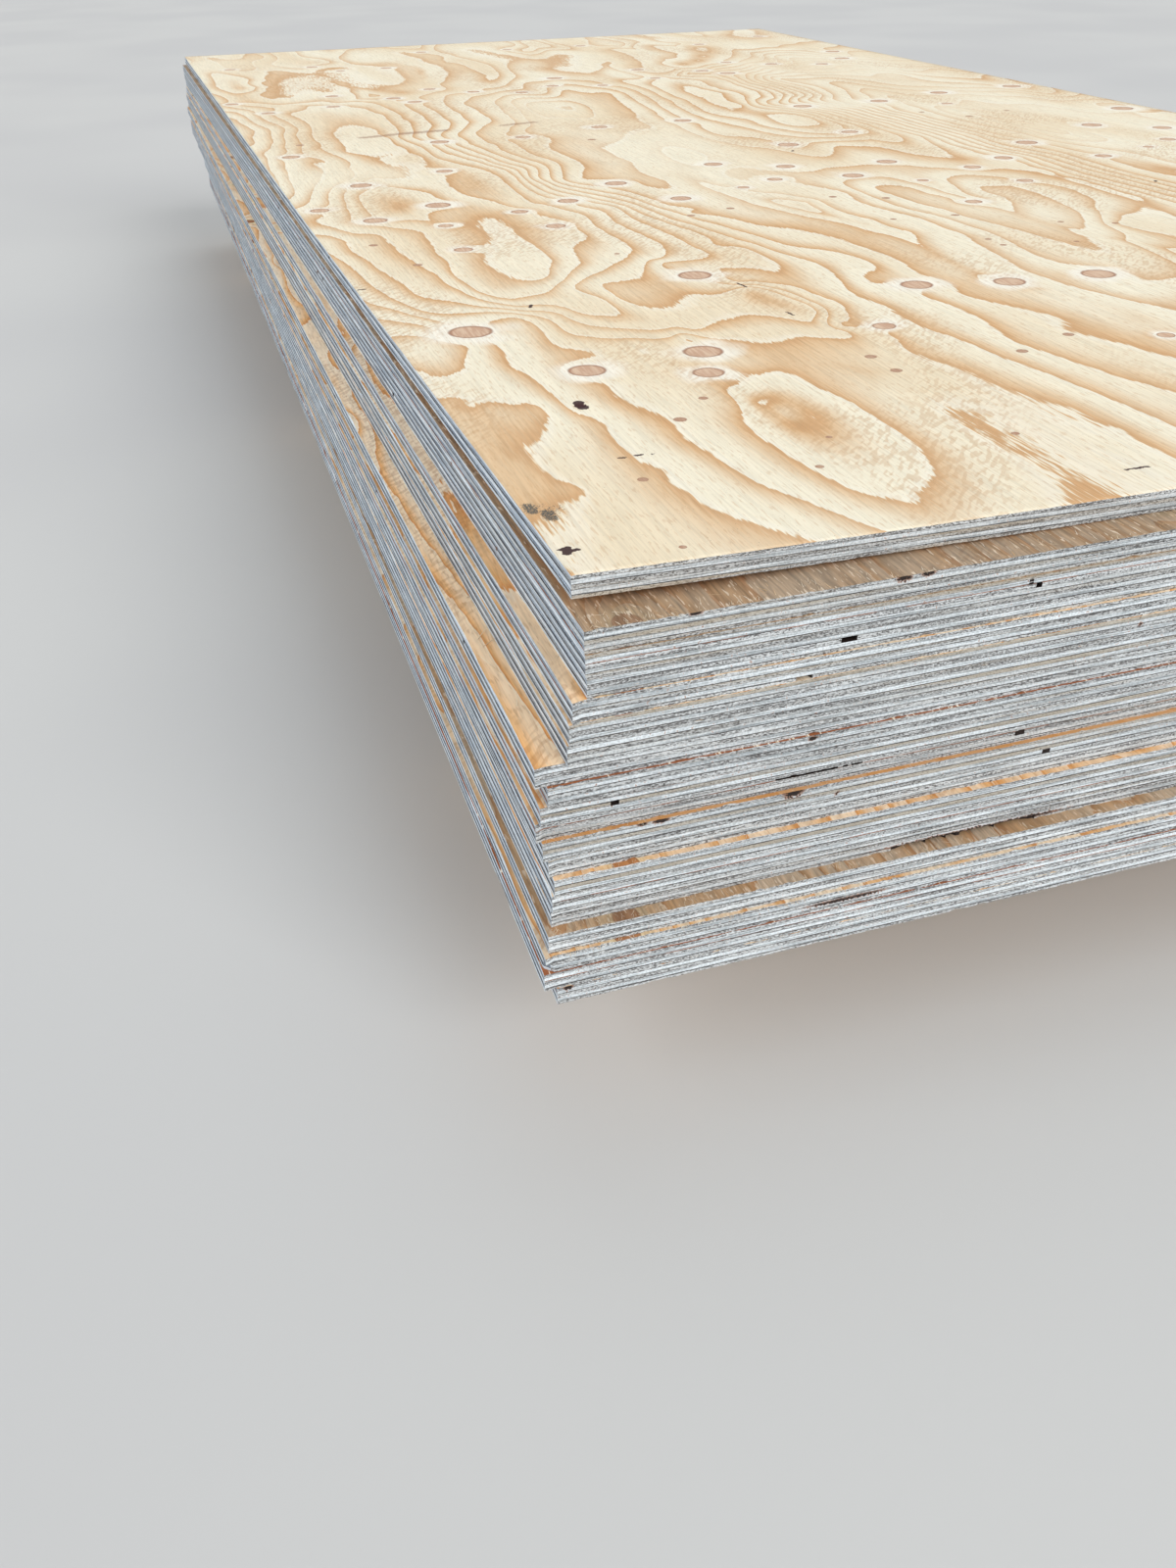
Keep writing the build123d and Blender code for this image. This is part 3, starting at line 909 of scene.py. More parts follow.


# Top face: what the photograph shows, in mm from the near left corner
topFaceSettings = {
    "spacing": (4.4, 11.0),        # of the mesh, at the near end and at the far end
    "markSpacing": 1.2,            # under the dark marks
    "clearOf": {"mark": 4.5, "edge": 1.6, "knotShare": 1.16, "knot": 0.8, "ringEdge": 2},
    "knotParts": 24,               # points round a knot and round a pin knot
    "pinParts": 12,
    "knotRings": (0.45, 0.80, 1.12),    # rings of points, as shares of the radius
    "knotStretch": 1.06,           # across the sheet
    "knotWobble": 0.05,
    "knotRim": (1.12, 0.32),       # where a knot ends and how wide its blurred rim is, as shares too
    "pinStrength": 0.68,
    "haloReach": (2.35, 0.5, 17),  # share of the radius, how much it varies and over what length
    "knotDepth": 0.22,
    "holeDepth": 2.2,
    "softness": {"dark": 1.6, "smear": 7, "mould": 3, "specks": 4},
    "speckStrength": 0.45,
    "waviness": 0.06,              # of the face
    "faceWaves": (1, 40, 90),
    "waveSeed": 3,
    "knots": [
        # right, back, radius
        (58, 418, 15), (109, 302, 12), (199, 316, 13), (184, 271, 10), (275, 515, 13), (347, 327, 8),
        (429, 421, 12), (503, 402, 12), (584, 397, 13), (117, 676, 8), (223, 737, 9), (125, 778, 7),
        (66, 827, 11), (140, 875, 12), (209, 813, 8), (270, 845, 10), (382, 812, 10), (465, 840, 6),
        (515, 868, 8), (603, 854, 11), (659, 801, 6), (648, 684, 8), (750, 848, 9), (814, 884, 10),
        (758, 758, 8), (521, 235, 6), (22, 895, 9), (85, 1010, 11), (190, 1058, 9), (38, 1222, 10),
        (231, 1258, 11), (340, 1252, 9), (457, 1290, 10), (580, 1297, 11), (626, 1064, 12),
        (489, 978, 10), (741, 1121, 10), (559, 933, 10), (679, 915, 11), (899, 963, 12),
        (347, 914, 11), (788, 1352, 12), (912, 1353, 12), (1037, 1395, 12), (1175, 1411, 13),
        (1053, 1045, 12), (1120, 991, 11), (1180, 1150, 14), (1068, 915, 9), (926, 850, 9),
        (1012, 880, 6), (987, 1290, 7), (58, 1605, 9), (157, 1632, 9), (258, 1684, 10),
        (280, 1632, 10), (458, 1665, 9), (18, 1722, 9), (174, 1748, 9), (333, 1765, 9),
        (390, 1705, 9), (525, 1720, 9), (601, 1692, 8), (557, 1812, 12), (724, 1862, 10),
        (819, 1800, 10), (710, 1740, 8), (845, 1750, 12), (967, 1838, 10), (905, 1895, 9),
        (1047, 1800, 10), (1155, 1968, 12), (1119, 1862, 12), (61, 2180, 9), (204, 2155, 9),
        (242, 2073, 7), (325, 2080, 9), (758, 2280, 9), (605, 2280, 8), (980, 560, 11),
        (860, 480, 10), (1090, 690, 12), (940, 250, 11), (760, 180, 10), (1130, 330, 12),
        (1040, 120, 9), (690, 60, 8), (1150, 2290, 10), (980, 2200, 9), (440, 2310, 9),
    ],
    "pinKnots": [
        (82, 235, 4), (160, 223, 3), (131, 190, 4), (75, 105, 3), (302, 265, 4), (303, 232, 4),
        (405, 239, 4), (458, 261, 4), (175, 92, 2.5), (308, 102, 2.5), (66, 634, 4), (44, 722, 4),
        (409, 747, 4), (529, 759, 4), (576, 733, 4), (360, 731, 4), (597, 636, 4), (533, 642, 3),
        (672, 573, 3), (715, 549, 3), (570, 513, 3), (570, 537, 3), (637, 500, 2.5), (62, 15, 2),
        (202, 133, 2), (415, 1197, 5), (950, 1173, 5), (1025, 1197, 4), (912, 1233, 4), (61, 1305, 5),
        (880, 330, 3), (720, 380, 3), (1010, 460, 4), (830, 90, 3), (1110, 210, 3), (240, 610, 2.5),
    ],
    "holes": [(82, 235)],          # pin knots that fell out
    "mould": [((5, 80), (5, 88), 2.2), ((12, 69), (12, 77), 2.6)],
    "mouldSpecks": [((8, 86), (17, 80), 4.0)],
    "darkMarks": [
        # from, to, half width
        ((4, 30), (8, 28), 0.7), ((6, 25), (8, 31), 1.5), ((8, 27), (13, 28), 0.6),
        ((82.5, 230), (82.5, 240), 3.0), ((332, 32), (346, 32), 0.2),
        ((73, 140), (77, 140), 0.3), ((84, 141), (88, 141), 0.3), ((94, 140), (95, 140), 0.0),
        ((118, 468), (121, 475), 0.6), ((297, 478), (299, 464), 0.3), ((297, 386), (298, 377), 0.3),
        ((0, 566), (8, 567), 0.4), ((610, 1020), (613, 1024), 0.8), ((880, 700), (883, 704), 0.8),
    ],
    "smears": [((146, 1331), (185, 1338), 5), ((195, 1341), (258, 1347), 6), ((340, 1355), (388, 1366), 4)],
    "ringLines": [
        # growth rings as they run: ring number, then points right and back. The wood is pale on
        # the side of the higher number and darkens towards the ring from the lower one
        (3, (0, 336), (7, 326), (16, 320), (27, 327), (37, 343), (43, 358), (50, 390)),
        (2.4, (6, 392), (20, 395)), (3.4, (24, 297), (50, 302)),
        (2.93, (37, 104), (28, 96), (25, 152), (46, 212)), (5.3, (150, 296), (174, 304)),
        (2.88, (14, 100), (22, 132), (14, 165), (24, 205)), (2.76, (6, 215), (30, 236)),
        (2.9, (6, 268), (12, 266)),
        (3, (0, 279), (10, 277), (18, 268), (16, 257), (32, 256), (45, 252), (56, 249), (57, 237), (55, 219),
            (49, 190), (39, 173), (30, 161), (30, 144), (33, 122), (38, 110), (39, 99), (34, 90), (29, 85),
            (21, 81), (20, 68), (13, 58), (0, 53)),
        (4, (68, 370), (66, 348), (64, 325), (70, 301), (70, 276), (70, 258), (75, 224), (82, 214),
            (85, 198), (82, 178), (81, 152), (82, 133), (90, 118), (90, 97), (92, 79), (93, 60), (106, 35),
            (128, 0)),
        (5, (112, 235), (124, 200), (120, 155), (127, 108), (140, 60), (160, 12), (166, 0)),
        (6, (212, 254), (233, 250), (239, 215), (243, 160), (243, 105), (231, 62), (222, 53), (205, 40),
            (197, 32), (178, 55), (167, 95), (166, 125), (164, 160), (175, 205), (190, 240)),
        (6.94, (186, 205), (190, 165), (200, 148), (208, 180), (200, 216)), (6.7, (196, 185), (199, 190)),
        (5, (270, 0), (287, 40), (286, 85), (285, 120), (288, 145), (296, 153), (303, 120), (304, 70),
            (308, 25), (311, 0)),
        (5, (338, 300), (333, 275), (342, 225), (350, 170), (354, 125), (360, 107), (365, 128), (369, 80),
            (373, 0)),
        (4, (370, 300), (379, 268), (385, 225), (394, 180), (400, 125), (404, 60), (410, 0)),
        (5, (100, 445), (108, 415), (107, 370), (125, 342), (165, 335), (200, 348)),
        (6, (3, 700), (15, 600), (22, 550), (42, 485), (85, 465), (118, 440), (125, 390), (150, 365),
            (195, 358), (230, 338), (255, 321), (280, 327), (302, 314), (315, 325), (326, 375), (327, 420),
            (312, 458), (300, 470)),
        (7, (22, 690), (38, 600), (45, 530), (85, 480), (130, 450), (150, 400), (185, 378), (215, 368),
            (250, 385), (272, 390), (290, 375), (305, 362), (318, 380), (320, 410), (308, 450), (300, 462)),
        (5, (300, 480), (318, 468), (340, 425), (345, 400), (338, 365), (328, 350), (320, 340)),
        (7, (193, 520), (190, 475), (203, 443), (222, 431), (240, 447), (252, 460)),
        (8, (60, 700), (72, 600), (82, 530), (110, 480), (150, 440), (172, 422), (177, 470), (170, 520)),
        (9, (97, 700), (88, 600), (92, 530), (105, 505)),
        (10, (170, 790), (178, 720), (181, 660), (178, 600), (162, 560), (150, 552), (136, 558), (126, 585),
             (124, 625), (140, 658), (147, 690)),
        (9, (237, 700), (230, 670), (213, 650), (204, 610), (199, 590)),
        (8, (262, 765), (255, 715), (261, 670), (258, 625), (240, 592)),
        (7, (283, 790), (279, 730), (285, 670), (285, 610), (270, 580), (256, 572)),
        (6, (303, 800), (301, 740), (308, 670), (312, 630), (314, 585), (298, 561), (268, 565)),
        (5, (305, 830), (318, 770), (322, 720), (335, 670), (336, 630), (331, 612), (352, 585), (353, 535),
            (345, 503), (325, 525), (300, 532)),
        (4, (312, 850), (328, 780), (334, 725), (350, 670), (357, 620), (370, 575), (386, 530), (385, 480),
            (370, 440), (366, 408), (373, 375), (365, 350), (355, 346)),
        (3, (330, 850), (340, 790), (352, 740), (370, 680), (382, 625), (392, 580), (416, 550), (430, 510),
            (425, 480), (404, 458), (398, 440), (405, 400), (421, 370), (424, 320), (414, 262), (424, 205),
            (434, 160), (446, 120)),
        (2, (348, 850), (356, 790), (371, 760), (364, 742), (385, 710), (402, 668), (425, 638), (440, 610),
            (452, 540), (450, 470), (444, 440), (447, 378), (460, 345), (476, 300), (463, 275), (480, 225),
            (500, 160)),
        (1, (515, 880), (549, 780), (545, 700), (556, 640), (560, 560), (540, 470)),
        (0, (568, 780), (565, 700), (580, 640), (585, 560), (575, 470)),
        (-1, (590, 780), (590, 700), (604, 620), (616, 540), (635, 460)),
        (-1, (725, 740), (730, 690), (722, 640), (708, 595), (698, 570)),
        (0, (770, 730), (776, 690), (766, 645), (745, 615), (732, 590)),
        (1, (799, 800), (800, 740), (799, 640), (780, 590), (740, 570), (720, 550)),
        (1, (814, 850), (812, 740), (814, 640)),
        (0, (828, 880), (822, 780), (828, 640)),
        (-1, (846, 880), (838, 780), (842, 640)),
        (-2, (860, 880), (853, 780), (858, 640)),
        (-3, (876, 880), (868, 780), (874, 640)),
        (-4, (892, 880), (884, 780), (890, 640)),
        # middle of the sheet
        (7, (250, 950), (257, 1040), (226, 1150)), (6, (259, 950), (267, 1040), (240, 1150)),
        (5, (268, 950), (278, 1040), (255, 1150)), (4, (277, 950), (291, 1040), (272, 1150)),
        (3, (287, 950), (306, 1040), (291, 1150)), (2, (300, 950), (323, 1040), (314, 1150)),
        (1, (322, 950), (350, 1040), (347, 1150)),
        (9, (135, 1150), (142, 1190), (158, 1200), (178, 1193), (187, 1160), (180, 1118), (155, 1109),
            (138, 1122)),
        (9, (108, 1230), (112, 1300), (118, 1370), (130, 1425), (147, 1440), (163, 1422), (172, 1380),
            (175, 1310), (178, 1230)),
        (8, (200, 1150), (198, 1250), (190, 1310), (204, 1400), (208, 1500), (200, 1590)),
        (7, (206, 1310), (225, 1400), (232, 1500), (226, 1590)),
        (6, (224, 1310), (252, 1400), (258, 1500), (256, 1590)),
        (5, (245, 1310), (280, 1400), (284, 1500), (284, 1590)),
        (4, (268, 1310), (306, 1400), (314, 1500), (318, 1590)),
        (3, (295, 1310), (336, 1400), (343, 1500), (345, 1590)),
        (8, (92, 1400), (97, 1480), (86, 1580)), (7, (68, 1370), (77, 1450), (66, 1570)),
        (6, (48, 1350), (60, 1450), (46, 1560)), (5, (30, 1340), (41, 1440), (26, 1560)),
        (4, (8, 1340), (20, 1440), (8, 1560)), (7, (62, 1110), (58, 1160), (75, 1175)),
        (1, (545, 1380), (562, 1480), (580, 1600)), (2, (572, 1380), (588, 1480), (604, 1600)),
        (3, (596, 1390), (611, 1480), (628, 1600)), (4, (618, 1390), (634, 1480), (648, 1600)),
        (5, (668, 1190), (666, 1270), (640, 1350), (655, 1450), (668, 1600)),
        (6, (700, 1290), (718, 1300), (737, 1288), (746, 1245), (740, 1205), (720, 1190), (698, 1197),
            (692, 1240)),
        (6, (712, 1400), (722, 1480), (735, 1540), (728, 1620)),
        (5, (722, 1390), (742, 1450), (757, 1510), (752, 1620)), (4, (738, 1385), (765, 1450), (790, 1520),
            (800, 1640)), (3, (754, 1385), (788, 1440), (808, 1520), (812, 1640)),
        (2, (770, 1390), (805, 1450), (822, 1520), (826, 1640)), (1, (788, 1395), (822, 1450), (836, 1520),
            (838, 1640)), (0, (805, 1400), (838, 1450), (850, 1520), (850, 1640)),
        (-1, (822, 1405), (852, 1450), (864, 1520), (862, 1640)), (-2, (840, 1405), (868, 1450), (880, 1520),
            (875, 1640)), (-3, (860, 1405), (886, 1450), (898, 1520), (890, 1640)),
        (5, (760, 1290), (758, 1200)), (4, (772, 1290), (772, 1200)), (3, (785, 1290), (786, 1180)),
        (2, (798, 1290), (800, 1180), (803, 1050)), (1, (811, 1290), (814, 1180), (815, 1050), (806, 960)),
        (0, (824, 1290), (828, 1180), (828, 1050), (820, 950)),
        (-1, (838, 1290), (841, 1180), (842, 1050), (834, 950)),
        (-2, (851, 1290), (854, 1180), (856, 1050), (848, 950)),
        (-3, (865, 1290), (867, 1180), (870, 1050), (862, 950)),
        (-4, (880, 1280), (880, 1180), (884, 1050)), (-5, (894, 1270), (893, 1180), (898, 1050)),
        # far end
        (6, (112, 1760), (108, 1800), (120, 1860), (122, 1940), (135, 1990), (165, 1995), (180, 1960),
            (178, 1890), (186, 1840), (176, 1790)),
        (6, (236, 2060), (240, 1960), (252, 1880), (272, 1850), (300, 1846), (318, 1885), (326, 1950),
            (330, 2040)),
        (5, (420, 2060), (410, 1960), (380, 1860)), (4, (600, 1895), (640, 1970), (655, 2040), (690, 2130)),
        (5, (745, 1880), (770, 1960), (788, 2060), (792, 2130)), (6, (880, 2150), (878, 2060), (850, 2000)),
        (7, (820, 1900), (870, 1940), (905, 2000), (940, 2080), (965, 2140)),
        (5, (400, 2260), (412, 2200), (408, 2140)), (4, (530, 2310), (540, 2230), (552, 2160)),
        (6, (955, 2400), (960, 2330), (1010, 2250)), (7, (1130, 2280), (1165, 2340), (1190, 2400)),
    ],
    "squeeze": 0.5,                # of the long way, as rings are drawn out along it
    "rounding": 6.0,               # of the ring surface at its points
    "pointStep": 45,               # of the points along a ring line
    # waves over the face: height, then wavelengths across and along the sheet
    "waverAcross": (3, 20, 45),
    "waverAlong": (6, 30, 60),
    "freeFigure": ((2.6, 120, 380), (0.9, 50, 150)),
    "looseFrom": (25, 60),         # how far from the lines free figure starts, and over what way
    "knotSwell": (0.8, 1.9, 1.7),  # rings that swell round a knot: by how much, and its reach in radii
    "strength": 0.85,              # of the rings
    "strengthWaves": (0.25, 90, 210),
    "weakest": 0.06,
    "patchFade": 0.85,
    "fading": ([1500, 2100, 2440], [1.0, 0.75, 0.6]),     # of the rings, towards the far end
    "plainPatches": [
        # where the rings hardly show: right, back, half width, half length
        (880, 1345, 130, 42), (1050, 1100, 150, 420), (480, 1050, 100, 330), (430, 1420, 70, 190),
        (90, 1060, 90, 80), (1080, 1780, 190, 210), (640, 60, 150, 120), (60, 2250, 160, 120),
    ],
    "seed": 7,
}


def eased(share):
    return share * share * (3 - 2 * share)


def latticeNoise(x, y, seed):
    # smooth noise over the plane, -1 to 1
    size, shiftX, shiftY = 64, 17.3, 9.1
    values = np.random.default_rng(seed).uniform(-1, 1, (size, size))
    x, y = x + shiftX, y + shiftY
    x0, y0 = np.floor(x).astype(int), np.floor(y).astype(int)
    fx, fy = eased(x - x0), eased(y - y0)

    def at(i, j):
        return values[(x0 + i) % size, (y0 + j) % size]

    low = at(0, 0) * (1 - fx) + at(1, 0) * fx
    high = at(0, 1) * (1 - fx) + at(1, 1) * fx
    return low * (1 - fy) + high * fy


def waves(u, v, kind, seed):
    height, across, along = kind
    return height * latticeNoise(u / across, v / along, seed)


def ringPoints(settings):
    # points every step along the ring lines: right, back and ring number
    points = []
    for ring, *corners in settings["ringLines"]:
        for (u0, v0), (u1, v1) in zip(corners[:-1], corners[1:]):
            count = max(1, int(math.hypot(u1 - u0, v1 - v0) / settings["pointStep"]))
            points += [(u0 + (u1 - u0) * k / count, v0 + (v1 - v0) * k / count, ring) for k in range(count)]
        points.append((*corners[-1], ring))
    return np.array(points)


def ringFieldAt(u, v, settings):
    # a smooth surface through the ring lines: each whole height of it is one growth ring
    seed = settings["seed"]
    squeeze, rounding = settings["squeeze"], settings["rounding"]
    points = ringPoints(settings)
    places = points[:, :2] * (1, squeeze)
    spread = np.hypot(places[:, None, 0] - places[None, :, 0], places[:, None, 1] - places[None, :, 1])
    count = len(points)
    system = np.ones((count + 1, count + 1))
    system[:count, :count] = np.hypot(spread, rounding)
    system[count, count] = 0
    weights = np.linalg.solve(system, np.append(points[:, 2], 0))
    bentU = u + waves(u, v, settings["waverAcross"], seed)
    bentV = (v + waves(u, v, settings["waverAlong"], seed + 1)) * squeeze
    field = np.full(u.shape, weights[-1])
    nearest = np.full(u.shape, np.inf)
    for (right, back), weight in zip(places, weights):
        away = np.hypot(bentU - right, bentV - back)
        field += weight * np.hypot(away, rounding)
        nearest = np.minimum(nearest, away)
    # free figure where no line is given
    start, way = settings["looseFrom"]
    broad, narrow = settings["freeFigure"]
    free = waves(u, v, broad, seed + 3) + waves(u, v, narrow, seed + 4)
    field += eased(np.clip((nearest - start) / way, 0, 1)) * free
    swell, across, along = settings["knotSwell"]
    for right, back, radius in settings["knots"]:
        away = ((u - right) / (across * radius)) ** 2 + ((v - back) / (along * radius)) ** 2
        field += swell * np.exp(-away)
    return field


def ringStrengthAt(u, v, settings):
    strength = settings["strength"] + waves(u, v, settings["strengthWaves"], settings["seed"] + 8)
    for right, back, halfWidth, halfLength in settings["plainPatches"]:
        away = ((u - right) / halfWidth) ** 2 + ((v - back) / halfLength) ** 2
        strength *= 1 - settings["patchFade"] * np.exp(-away ** 2)
    strength *= np.interp(v, *settings["fading"])
    return np.clip(strength, settings["weakest"], 1.0)


def markedAlong(u, v, marks, softness):
    # 1 on each mark's line, falling to 0 outside it
    marked = np.zeros(len(u))
    for (fromU, fromV), (toU, toV), halfWidth in marks:
        length = math.hypot(toU - fromU, toV - fromV)
        share = np.clip(((u - fromU) * (toU - fromU) + (v - fromV) * (toV - fromV)) / length ** 2, 0, 1)
        away = np.hypot(u - fromU - share * (toU - fromU), v - fromV - share * (toV - fromV))
        marked = np.maximum(marked, np.clip(1 - (away - halfWidth) / softness, 0, 1))
    return marked


def markNet(settings, marks):
    # a finer net of points under each mark, so that it keeps its outline
    step, margin, edge = settings["markSpacing"], 3, settings["clearOf"]["edge"]
    points = []
    for (fromU, fromV), (toU, toV), halfWidth in marks:
        reach = halfWidth + margin
        for v in np.arange(min(fromV, toV) - reach, max(fromV, toV) + reach, step):
            points += [(u, v) for u in np.arange(min(fromU, toU) - reach, max(fromU, toU) + reach, step)]
    return [p for p in points if edge < p[0] and edge < p[1]]


def facePoints(short, long, knots, settings):
    # inner points of the face: an open net, a finer one under the marks and rings in the knots
    draw = np.random.default_rng(settings["seed"])
    nearStep, farStep = settings["spacing"]
    clear = settings["clearOf"]
    net = np.array(faceGrid(short, long, lambda v: nearStep + (farStep - nearStep) * v / long))
    marks = settings["darkMarks"] + settings["mould"] + settings["mouldSpecks"]
    keep = markedAlong(net[:, 0], net[:, 1], marks, clear["mark"]) <= 0
    net = np.concatenate([net[keep], markNet(settings, marks)])
    keep = np.ones(len(net), bool)
    rings = []
    for right, back, radius, parts in knots:
        away = np.hypot(net[:, 0] - right, net[:, 1] - back)
        keep &= away > radius * clear["knotShare"] + clear["knot"]
        wobble = 1 + settings["knotWobble"] * draw.uniform(-1, 1, parts)
        for share in settings["knotRings"]:
            for k in range(parts):
                turn = 2 * math.pi * k / parts
                reach = radius * share * wobble[k]
                rings.append((right + reach * settings["knotStretch"] * math.cos(turn),
                              back + reach * math.sin(turn)))
    edge = clear["ringEdge"]
    rings = [p for p in rings if edge < p[0] < short - edge and edge < p[1] < long - edge]
    return np.concatenate([net[keep], rings])


def knotValues(u, v, knots, settings):
    # how far each point is in a knot and in its halo, and how deep it is sunk
    core, halo, sunk = np.zeros((3, len(u)))
    rim, blur = settings["knotRim"]
    reach, change, wavelength = settings["haloReach"]
    for right, back, radius, parts in knots:
        away = np.hypot((u - right) / settings["knotStretch"], v - back) / radius
        inside = (rim - away) / blur
        large = parts == settings["knotParts"]
        core = np.maximum(core, np.clip(inside, 0, 1 if large else settings["pinStrength"]))
        depth = settings["holeDepth"] if (right, back) in settings["holes"] else 0
        if large:
            depth = settings["knotDepth"]
            wave = latticeNoise(u / wavelength + radius, v / wavelength, settings["seed"] + 9)
            varied = reach + change * wave
            halo = np.maximum(halo, np.clip(varied - away, 0, 1))
        sunk = np.maximum(sunk, depth * np.clip(inside, 0, 1))
    return core, halo, sunk


def topFace(outline, short, long, firstNew, firstRing):
    settings = topFaceSettings
    knots = [(*knot, settings["knotParts"]) for knot in settings["knots"]]
    knots += [(*knot, settings["pinParts"]) for knot in settings["pinKnots"]]
    inner = facePoints(short, long, knots, settings)
    faces = filledFace(outline, inner, firstRing, firstNew)
    ringSize = len(outline)
    u, v = np.concatenate([outline[:, :2], inner]).T
    core, halo, sunk = knotValues(u, v, knots, settings)
    uneven = 1 + waves(inner[:, 0], inner[:, 1], settings["faceWaves"], settings["waveSeed"])
    height = outline[0, 2] - settings["waviness"] * uneven - sunk[ringSize:]
    softness = settings["softness"]
    specks = settings["speckStrength"] * markedAlong(u, v, settings["mouldSpecks"], softness["specks"])
    carried = {
        "ringField": ringFieldAt(u, v, settings),
        "ringStrength": ringStrengthAt(u, v, settings),
        "knotCore": core,
        "knotHalo": halo,
        "darkMark": markedAlong(u, v, settings["darkMarks"], softness["dark"]),
        "smearMark": markedAlong(u, v, settings["smears"], softness["smear"]),
        "mouldMark": np.maximum(markedAlong(u, v, settings["mould"], softness["mould"]), specks),
    }
    where = np.append(firstRing + np.arange(ringSize), firstNew + np.arange(len(inner)))
    return np.column_stack([inner, height]), faces, {key: (where, values) for key, values in carried.items()}


totalFaces = 0
for sheetNumber in range(1, topSheet + 1):
    totalFaces += buildSheet(sheetNumber, sheetSettings, topFace if sheetNumber == topSheet else None)
print("sheets made,", totalFaces, "faces")


# Torn fibres: slivers that stand up along the arrises and lie on the bare strips. All in mm
fibreSettings = {
    # sheet: how many along its near arris, how far back the bare strip reaches
    "nearStrips": {19: (620, 16.0), 16: (90, 2.0), 13: (60, 1.5), 9: (220, 3.0), 7: (260, 4.0),
                   4: (460, 8.0), 3: (380, 5.0)},
    "slivers": {"from": 3, "over": 1190, "crowding": (1.6, 2.2), "inFrom": 1.2, "height": 11.9,
                "lengths": (1.5, 7.0), "reachOver": 2.5, "widths": (0.16, 0.42), "lifts": (0.0, 0.22),
                "bends": (-0.3, 0.5), "bleached": (0, 0.35)},
    "turnedOut": 0.7,            # share of them that point out over the arris
    "headings": (0.35, 0.4),     # how much their headings vary, of those and of the others
    "edgeFuzz": 90,              # along the near edge of every sheet
    "fuzz": {"from": 12, "over": 1150, "crowding": 1.7, "in": 0.8, "heights": [3.0, 4.0, 8.2, 9.2],
             "stray": 0.6, "turnedOut": (0.02, 0.14), "lifts": (-0.08, 0.08), "lengths": (2.0, 7.0),
             "widths": (0.2, 0.4), "bends": (-0.2, 0.2), "bleached": (0.7, 1.0)},
    "boxMargin": 0.1,            # how far they stay inside the stack's own box
    # sheet, right, back, length, heading in degrees from along the sheet
    "hairs": [(13, 7.0, 128.0, 26.0, 58.0), (13, 6.0, 137.0, 20.0, 40.0), (13, 9.0, 96.0, 24.0, -24.0),
              (13, 8.0, 60.0, 15.0, 16.0), (13, 12.0, 190.0, 14.0, 70.0), (16, 6.0, 44.0, 12.0, 35.0)],
    "hair": {"height": 12.0, "lift": 0.12, "width": 0.5, "bends": (0.5, 3.0), "bleached": 0.1},
    "seed": 55,
}
fibreColours = {
    "straw": paint(236, 218, 186),
    "golden": paint(214, 170, 110),
    "bleached": paint(232, 236, 238),
}
sliverSections = ((0.0, 1.0), (0.35, 0.8), (0.7, 0.5))     # shares of the length and the width
sliverFaces = 10


def makeFibreWood(colours):
    material, tree, shader, position = newMaterial("tornFibreWood")
    patches = noise(tree, position, 60.0, 1.0, 0.6)
    lines = noise(tree, position, 900.0, 1.0, 0.6)
    colour = layered(
        tree, colours["straw"],
        (soften(tree, patches, 0.45, 0.75), colours["golden"]),
        (attributeOf(tree, "bleached"), colours["bleached"]),
    )
    colour = shadeBy(tree, colour, soften(tree, lines, 0.3, 0.7, 0.88, 1.05))
    finishSurface(tree, shader, colour, soften(tree, lines, 0.3, 0.7, 0.8, 0.6), lines, 0.0002)
    return material


def addSliver(points, faces, root, heading, up, length, width, bend):
    # a sliver of three sides that tapers to a point and bends up or down on its way
    side = np.cross(up, heading)
    side = side / np.linalg.norm(side)
    first = len(points)
    for share, thick in sliverSections:
        middle = root + heading * length * share + up * bend * share ** 2
        for k in range(3):
            turn = 2 * math.pi * k / 3
            points.append(middle + (side * math.cos(turn) + up * math.sin(turn)) * width * thick / 2)
    points.append(root + heading * length + up * bend)
    faces.append((first + 2, first + 1, first))
    for ring in (0, 3):
        for k in range(3):
            a, b = first + ring + k, first + ring + (k + 1) % 3
            faces.append((a, b, b + 3, a + 3))
    faces += [(first + 6 + k, first + 6 + (k + 1) % 3, first + 9) for k in range(3)]


